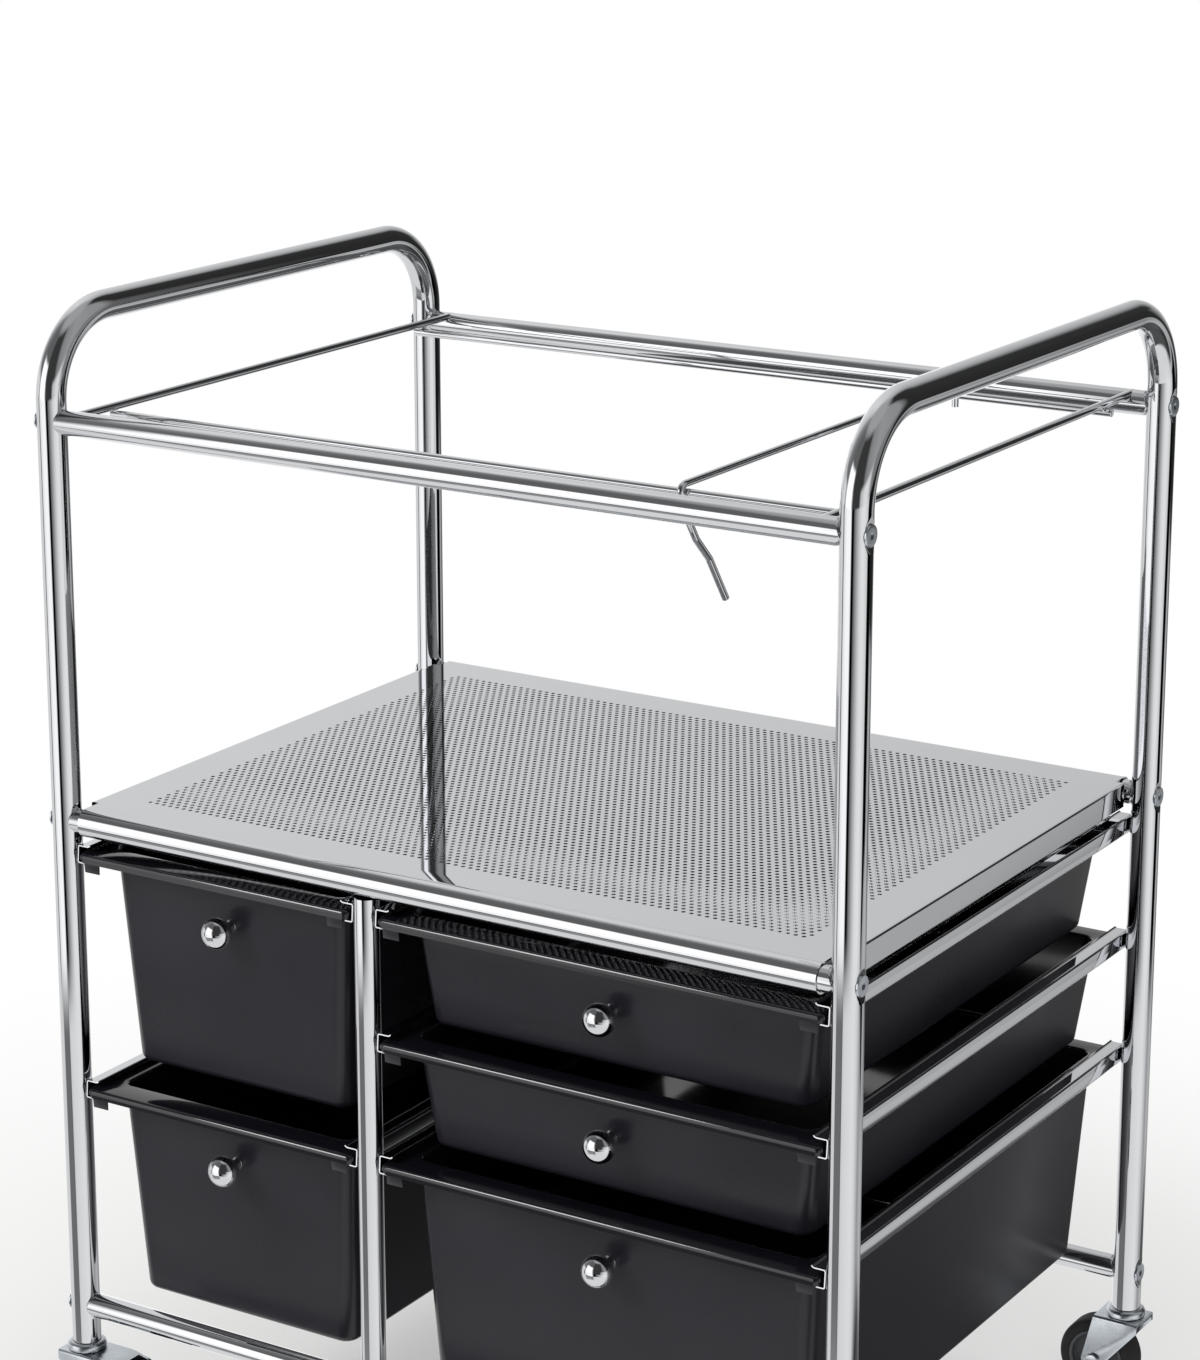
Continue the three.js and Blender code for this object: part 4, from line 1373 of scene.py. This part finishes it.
@dataclass
class Caster:
    """A swivel caster: stem in the post, pressed fork, wheel on its axle and, in front, a brake lever."""

    end: End
    side: Side
    sides: int = 64
    edge: float = 0.35 * MM
    rivet: Pairs = ((5.6 * MM, 0.0), (6.5 * MM, 0.6 * MM), (6.5 * MM, 2 * MM))
    pivot: float = 4 * MM
    # Setback from the radius of the bearing cup, and height
    cup_shape: Pairs = (
        (0.6 * MM, 4.6 * MM), (0.0, 5.2 * MM), (0.0, 7.6 * MM),
        (0.5 * MM, 8.8 * MM), (1.5 * MM, 9.6 * MM), (2.6 * MM, 10 * MM),
    )
    plug: float = 7.4 * MM
    axle: float = 3 * MM
    head: float = 1.5 * MM
    # Share of the radius of an axle's head, and setback from its end
    head_shape: Pairs = ((0.55, 0.0), (0.85, 0.25 * MM), (1.0, 0.9 * MM))
    tyre_round: float = 3.2 * MM
    tyre_steps: int = 6
    tyre_edge: float = 0.6 * MM
    tyre_gap: float = 0.1 * MM
    hub_round: float = 0.8 * MM
    web: float = 4.5 * MM
    boss: float = 7.5 * MM
    rim: float = 2 * MM
    rim_edge: float = 0.3 * MM
    bore: float = 3.3 * MM

    @property
    def where(self) -> str:
        """The corner of the cart that this caster stands at."""
        return f"{self.end.value}_{self.side.value}"

    @property
    def name(self) -> str:
        """Name of this caster's solids."""
        return f"{self.where}_caster"

    def build(self, nodes: dict[str, bpy.types.Object]) -> None:
        """Model and dress the caster.

        Args:
            nodes: The solids' objects by name.
        """
        where = self.where
        self.build_stem()
        fork = Workpiece.from_node(f"{where}_pressed_fork", nodes[f"{self.name}_fork"])
        self.soften(fork)
        fork.dress(ZINC_PLATE, "zinc_steel", f"{where}_fork", f"{self.name}_fork")
        self.build_axle()
        self.build_hub()
        self.build_tyre()
        if self.end is End.FRONT:
            lever = Workpiece.from_node(f"{where}_brake_pedal", nodes[f"{self.name}_brake_lever"])
            self.soften(lever)
            lever.dress(BLACK_POLYPROPYLENE, "black_plastic", f"{where}_brake", f"{self.name}_brake_lever")

    def soften(self, piece: Workpiece) -> None:
        """Round the sharp edges of a pressing or a lever."""
        bpy.ops.mesh.select_all(action="DESELECT")
        bpy.ops.mesh.select_mode(type="EDGE")
        bpy.ops.mesh.edges_select_sharp(sharpness=SHARP_ANGLE)
        piece.bevel(self.edge, segments=2)

    def build_stem(self) -> None:
        """Turn the stem: rivet head, pivot, bearing cup and plug."""
        node = f"{self.name}_stem"
        low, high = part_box(node)
        foot = Vector(((low.x + high.x) / 2, (low.y + high.y) / 2, low.z))
        cup = [((high.x - low.x) / 2 - setback, height) for setback, height in self.cup_shape]
        profile = [
            *self.rivet, (self.pivot, self.rivet[-1][1]), (self.pivot, cup[0][1]), *cup,
            (self.plug, cup[-1][1]), (self.plug, high.z - low.z),
        ]
        piece = turned(f"{self.where}_stem", profile, self.sides, foot, Axis.UP)
        piece.dress(ZINC_PLATE, "zinc_steel", "frame", node)

    @staticmethod
    def measure(node: str) -> tuple[Vector, float, float]:
        """Middle, radius and half length of a round solid along Y."""
        low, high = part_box(node)
        return (low + high) / 2, (high.z - low.z) / 2, (high.y - low.y) / 2

    def build_axle(self) -> None:
        """Turn the axle, with a domed head on either end."""
        node = f"{self.name}_axle"
        middle, head, half = self.measure(node)
        shoulder = half - self.head
        side = [(head * share, half - setback) for share, setback in self.head_shape]
        side += [(head, shoulder), (self.axle, shoulder)]
        piece = turned(f"{self.where}_wheel_axle", mirrored(side), self.sides // 2, middle, Axis.REARWARD)
        piece.dress(ZINC_PLATE, "zinc_steel", f"{self.where}_fork", node)

    def build_hub(self) -> None:
        """Turn the wheel centre: boss, web and rim."""
        node = f"{self.name}_hub"
        middle, outer, half = self.measure(node)
        tyre_half = self.measure(f"{self.name}_tyre")[2]
        inner, boss, web, soft = outer - self.rim, self.boss, self.web, self.hub_round
        side = [
            (self.bore, half), (boss - soft, half), (boss, half - soft), (boss + soft, web + soft),
            (boss + 2 * soft, web), (inner - soft, web), (inner, web + soft),
            (inner, tyre_half - self.rim_edge), (inner + self.rim_edge, tyre_half), (outer, tyre_half),
        ]
        name, profile = f"{self.where}_wheel_centre", mirrored(side)
        piece = turned(name, profile, self.sides, middle, Axis.REARWARD, ring=True)
        piece.dress(GREY_NYLON, "grey_nylon", f"{self.where}_wheel", node)

    def build_tyre(self) -> None:
        """Turn the tyre, with round shoulders and a flat tread that stands on the floor."""
        node = f"{self.name}_tyre"
        middle, _, half = self.measure(node)
        seat = self.measure(f"{self.name}_hub")[1] + self.tyre_gap
        shoulder = rounded_corner(middle.z, half, self.tyre_round, self.tyre_steps)
        side = [(seat, half - self.tyre_edge), (seat + self.tyre_edge, half), *reversed(shoulder)]
        name, profile = f"{self.where}_wheel_tyre", mirrored(side)
        piece = turned(name, profile, self.sides, middle, Axis.REARWARD, ring=True)
        piece.dress(BLACK_RUBBER, "black_rubber", f"{self.where}_wheel", node)


@dataclass(frozen=True)
class SoftLamp:
    """One soft studio lamp, which may light only the pieces whose names end in one way."""

    name: str
    place: tuple[float, float, float]
    size: float
    watts: float
    lit_pieces: str = ""

    def hang(self, aim: Vector) -> None:
        """Hang the lamp and point it.

        Args:
            aim: The point that it lights.
        """
        Workpiece.rest_all()
        turn = (aim - Vector(self.place)).to_track_quat("-Z", "Y").to_euler()
        bpy.ops.object.light_add(type="AREA", location=self.place, rotation=turn)
        lamp = bpy.context.object
        lamp.name = self.name
        lamp.data.shape = "DISK"
        lamp.data.size = self.size
        lamp.data.energy = self.watts
        lamp.visible_glossy = bool(self.lit_pieces)
        if self.lit_pieces:
            lit = bpy.data.collections.new(f"lit_by_{self.name}")
            for obj in bpy.context.scene.objects:
                if obj.name.endswith(self.lit_pieces):
                    lit.objects.link(obj)
            lamp.light_linking.receiver_collection = lit


@dataclass(frozen=True)
class WallBand:
    """What shiny surfaces see of the studio from one height upwards."""

    start: float
    full: float
    levels: Pairs

    def paint(self, tree: bpy.types.NodeTree, turn: bpy.types.NodeSocket) -> bpy.types.NodeSocket:
        """Paint the band round the studio.

        Args:
            tree: The world's node tree.
            turn: Azimuth from +X, from 0 to 1 over a whole turn that starts at -X.

        Returns:
            The brightness in a direction.
        """
        ramp = add_node(tree, "ShaderNodeValToRGB", {"Fac": turn})
        stops = ramp.color_ramp.elements
        stops.remove(stops[-1])
        for number, (degrees, level) in enumerate(self.levels):
            stop = stops.new((degrees + 180) / 360) if number else stops[0]
            stop.position = (degrees + 180) / 360
            stop.color = (level, level, level, 1)
        return ramp.outputs["Color"]


# Directions in degrees and brightness that two bands share: the stripes at the foot of the walls, from the
# left round the front to the right and from there to the rear, and the tops of the walls but for the left
STRIPES_FRONT = (
    (-180, 0.85), (-160, 0.9), (-157, 0.1), (-152, 0.1), (-149, 1.0), (-125, 1.3), (-101, 1.3), (-97, 0.7),
    (-94, 0.0), (-82, 0.0), (-77, 0.15), (-48, 0.7), (-35, 0.95), (-14, 1.05), (14, 0.8), (19, 0.0),
)
STRIPES_REAR = ((78, 0.1), (88, 0.1), (110, 1.15), (150, 1.15), (158, 0.8), (180, 0.85))
TOPS = (
    (-40, 0.05), (-25, 0.3), (10, 0.4), (44, 0.35), (53, 0.03), (78, 0.04), (88, 0.35), (94, 0.5),
    (108, 0.65), (124, 0.78), (150, 0.9), (168, 0.7), (180, 0.35),
)


@dataclass
class Studio:
    """The photograph's studio: a pale floor, white walls with dark gaps for chrome to mirror, the camera."""

    azimuth: float = math.radians(31.931)
    pitch: float = math.radians(14.623)
    focal_px: float = 3675.0
    axis_y_px: float = 600.0
    offset_right: float = 7.31 * MM
    offset_up: float = 109.77 * MM
    distance: float = 2155.3 * MM
    clip_end: float = 20.0
    floor_radius: float = 1.0
    floor_sides: int = 96
    floor_fade: float = 0.3
    floor_edge: float = 0.97
    floor_colour: str = "F4F4F2"
    floor_white: float = 0.4
    ambient: float = 0.62
    bands: tuple[WallBand, ...] = (
        # The floor close by
        WallBand(-1.0, -0.9, ((-180, 0.9), (8, 0.9), (22, 0.1), (90, 0.1), (106, 0.9), (180, 0.9))),
        # The floor further off, which is dim in front
        WallBand(-0.66, -0.6, (
            (-180, 0.85), (-150, 0.85), (-144, 0.35), (-101, 0.35), (-98, 0.05), (-94, 0.85), (-20, 0.95),
            (2, 0.85), (20, 0.05), (48, 0.05), (60, 0.12), (90, 0.08), (112, 1.0), (150, 1.0), (160, 0.85),
            (180, 0.85),
        )),
        # Its far edge
        WallBand(-0.46, -0.42, (
            (-180, 0.85), (-150, 0.85), (-145, 0.2), (-101, 0.2), (-98, 0.05), (-94, 0.8), (-80, 0.9),
            (-20, 1.0), (2, 0.85), (30, 0.4), (60, 0.6), (90, 0.3), (112, 1.0), (150, 1.0), (160, 0.85),
            (180, 0.85),
        )),
        # The foot of the walls, which the posts show as upright stripes
        WallBand(-0.362, -0.338, (*STRIPES_FRONT, (46, 0.0), (53, 0.5), (63, 0.5), *STRIPES_REAR)),
        # The same stripes further up, without the light strip at the rear right
        WallBand(-0.225, -0.195, (*STRIPES_FRONT, (70, 0.03), *STRIPES_REAR)),
        # The walls at the height of the object, with a lit panel in front on the left
        WallBand(-0.13, -0.08, (
            (-180, 0.85), (-158, 0.95), (-150, 0.35), (-138, 1.6), (-106, 1.6), (-97, 0.3), (-92, 0.05),
            (-52, 0.05), (-44, 0.6), (-20, 0.95), (0, 0.95), (18, 0.25), (46, 0.25), (53, 0.03), (70, 0.03),
            (80, 0.3), (102, 0.7), (124, 1.2), (150, 1.15), (160, 0.85), (180, 0.85),
        )),
        # The panel reaches higher than that
        WallBand(0.08, 0.22, (
            (-180, 0.35), (-162, 0.2), (-148, 0.2), (-138, 1.6), (-106, 1.6), (-97, 0.15), (-92, 0.05), *TOPS,
        )),
        # Their dim tops in front, and the bright rear left corner
        WallBand(0.42, 0.54, ((-180, 0.35), (-162, 0.2), (-142, 0.15), (-104, 0.15), (-94, 0.05), *TOPS)),
        # The ceiling
        WallBand(0.85, 0.97, ((-180, 0.45), (180, 0.45))),
    )
    lamps: tuple[SoftLamp, ...] = (
        SoftLamp("key_lamp", (-1.6, -2.0, 2.6), 1.6, 38.0),
        SoftLamp("fill_lamp", (2.0, -2.2, 1.8), 1.8, 7.5),
        SoftLamp("rear_lamp", (0.4, 2.2, 2.4), 1.6, 16.0),
        SoftLamp("edge_lamp", (-1.25, -2.0, 1.55), 0.9, 23.0, "_tub"),
    )

    def build(self, aim: Vector) -> None:
        """Lay the floor, light the studio and set up the camera.

        Args:
            aim: Middle of the object.
        """
        bpy.context.scene.view_settings.view_transform = "Standard"
        self.lay_floor()
        self.paint_walls()
        for lamp in self.lamps:
            lamp.hang(aim)
        self.set_camera()

    def lay_floor(self) -> None:
        """Lay a pale matt floor that fades into the white round it."""
        floor = Workpiece(
            "studio_floor", bpy.ops.mesh.primitive_circle_add,
            vertices=self.floor_sides, radius=self.floor_radius, fill_type="NGON",
        )
        floor.rest_all()
        material, tree = new_material("matt_studio_paper")
        place = add_node(tree, "ShaderNodeTexCoord").outputs["Object"]
        spread = add_node(tree, "ShaderNodeVectorMath", {0: place}, operation="LENGTH")
        fade = add_node(
            tree, "ShaderNodeMapRange",
            {"Value": spread.outputs["Value"], "From Min": self.floor_fade, "From Max": self.floor_edge,
             "To Min": self.floor_white, "To Max": 1.0},
            interpolation_type="SMOOTHSTEP",
        )
        rays = add_node(tree, "ShaderNodeLightPath")
        part_white = add_node(
            tree, "ShaderNodeMath",
            {0: fade.outputs["Result"], 1: rays.outputs["Is Camera Ray"]}, operation="MULTIPLY",
        )
        paper = add_node(
            tree, "ShaderNodeBsdfPrincipled",
            {"Base Color": linear(self.floor_colour), "Roughness": 0.9, "Specular IOR Level": 0.1},
        )
        white = add_node(tree, "ShaderNodeEmission", {"Color": WHITE, "Strength": 1.0})
        mix = add_node(
            tree, "ShaderNodeMixShader",
            {0: part_white.outputs[0], 1: paper.outputs["BSDF"], 2: white.outputs["Emission"]},
        )
        add_node(tree, "ShaderNodeOutputMaterial", {"Surface": mix.outputs["Shader"]})
        floor.obj.data.materials.append(material)
        floor.obj.visible_glossy = False
        floor.obj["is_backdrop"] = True

    def paint_walls(self) -> None:
        """Paint the world: white to the eye, even to matt surfaces, walls with dark gaps to shiny ones."""
        world = bpy.data.worlds.new("studio_walls")
        bpy.context.scene.world = world
        world.use_nodes = True
        tree = world.node_tree
        tree.nodes.clear()
        view = add_node(tree, "ShaderNodeTexCoord").outputs["Generated"]
        axes = add_node(tree, "ShaderNodeSeparateXYZ", {0: view}).outputs
        angle = add_node(tree, "ShaderNodeMath", {0: axes["Y"], 1: axes["X"]}, operation="ARCTAN2")
        turn = add_node(
            tree, "ShaderNodeMapRange",
            {"Value": angle.outputs[0], "From Min": -math.pi, "From Max": math.pi},
        ).outputs["Result"]
        lowest, *higher = self.bands
        shine = lowest.paint(tree, turn)
        for band in higher:
            height = add_node(
                tree, "ShaderNodeMapRange",
                {"Value": axes["Z"], "From Min": band.start, "From Max": band.full},
                interpolation_type="SMOOTHSTEP",
            )
            shine = mix_colours(tree, height.outputs["Result"], shine, band.paint(tree, turn))
        rays = add_node(tree, "ShaderNodeLightPath").outputs
        even = (self.ambient, self.ambient, self.ambient, 1.0)
        matt_or_shiny = mix_colours(tree, rays["Is Glossy Ray"], even, shine)
        seen = add_node(
            tree, "ShaderNodeMath",
            {0: rays["Is Camera Ray"], 1: rays["Is Transmission Ray"]}, operation="MAXIMUM",
        )
        colour = mix_colours(tree, seen.outputs[0], matt_or_shiny, WHITE)
        light = add_node(tree, "ShaderNodeBackground", {"Color": colour, "Strength": 1.0})
        add_node(tree, "ShaderNodeOutputWorld", {"Surface": light.outputs["Background"]})

    def set_camera(self) -> None:
        """Put the camera where the photograph was taken from."""
        anchor = Vector((0, 0, middle_of("rack_front_tube").z))
        right = Vector((math.cos(self.azimuth), math.sin(self.azimuth), 0))
        ahead = Vector((
            -math.sin(self.azimuth) * math.cos(self.pitch),
            math.cos(self.azimuth) * math.cos(self.pitch),
            -math.sin(self.pitch),
        ))
        up = right.cross(ahead)
        place = anchor - right * self.offset_right - up * self.offset_up - ahead * self.distance
        Workpiece.rest_all()
        bpy.ops.object.camera_add(location=place, rotation=ahead.to_track_quat("-Z", "Y").to_euler())
        camera = bpy.context.object
        camera.data.sensor_width = SENSOR_MM
        camera.data.lens = self.focal_px * SENSOR_MM / FRAME_H_PX
        camera.data.shift_y = (self.axis_y_px - FRAME_H_PX / 2) / FRAME_H_PX
        camera.data.clip_end = self.clip_end
        bpy.context.scene.camera = camera


def main() -> None:
    """Build every sub-assembly in order, then the studio round it."""
    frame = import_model()
    TubeFrame(BoltSeats()).build()
    FileRack().build()
    PerforatedShelf().build()
    RunnerSet().build()
    moulds: dict[tuple[int, ...], tuple[MouldedDrawer, Workpiece]] = {}
    for name in DRAWER_NAMES:
        drawer = MouldedDrawer(name)
        made, tub = moulds.get(drawer.size, (None, None))
        piece = drawer.build(made, tub)
        moulds.setdefault(drawer.size, (drawer, piece))
    BallKnobs().build()
    for end in End:
        for side in Side:
            Caster(end, side).build(frame["nodes"])
    low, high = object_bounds()
    LOG.info("visual box %s to %s", [round(v, 4) for v in low], [round(v, 4) for v in high])
    Studio().build((low + high) / 2)


if __name__ == "__main__":
    logging.basicConfig(level=logging.INFO, format="%(name)s: %(message)s")
    main()
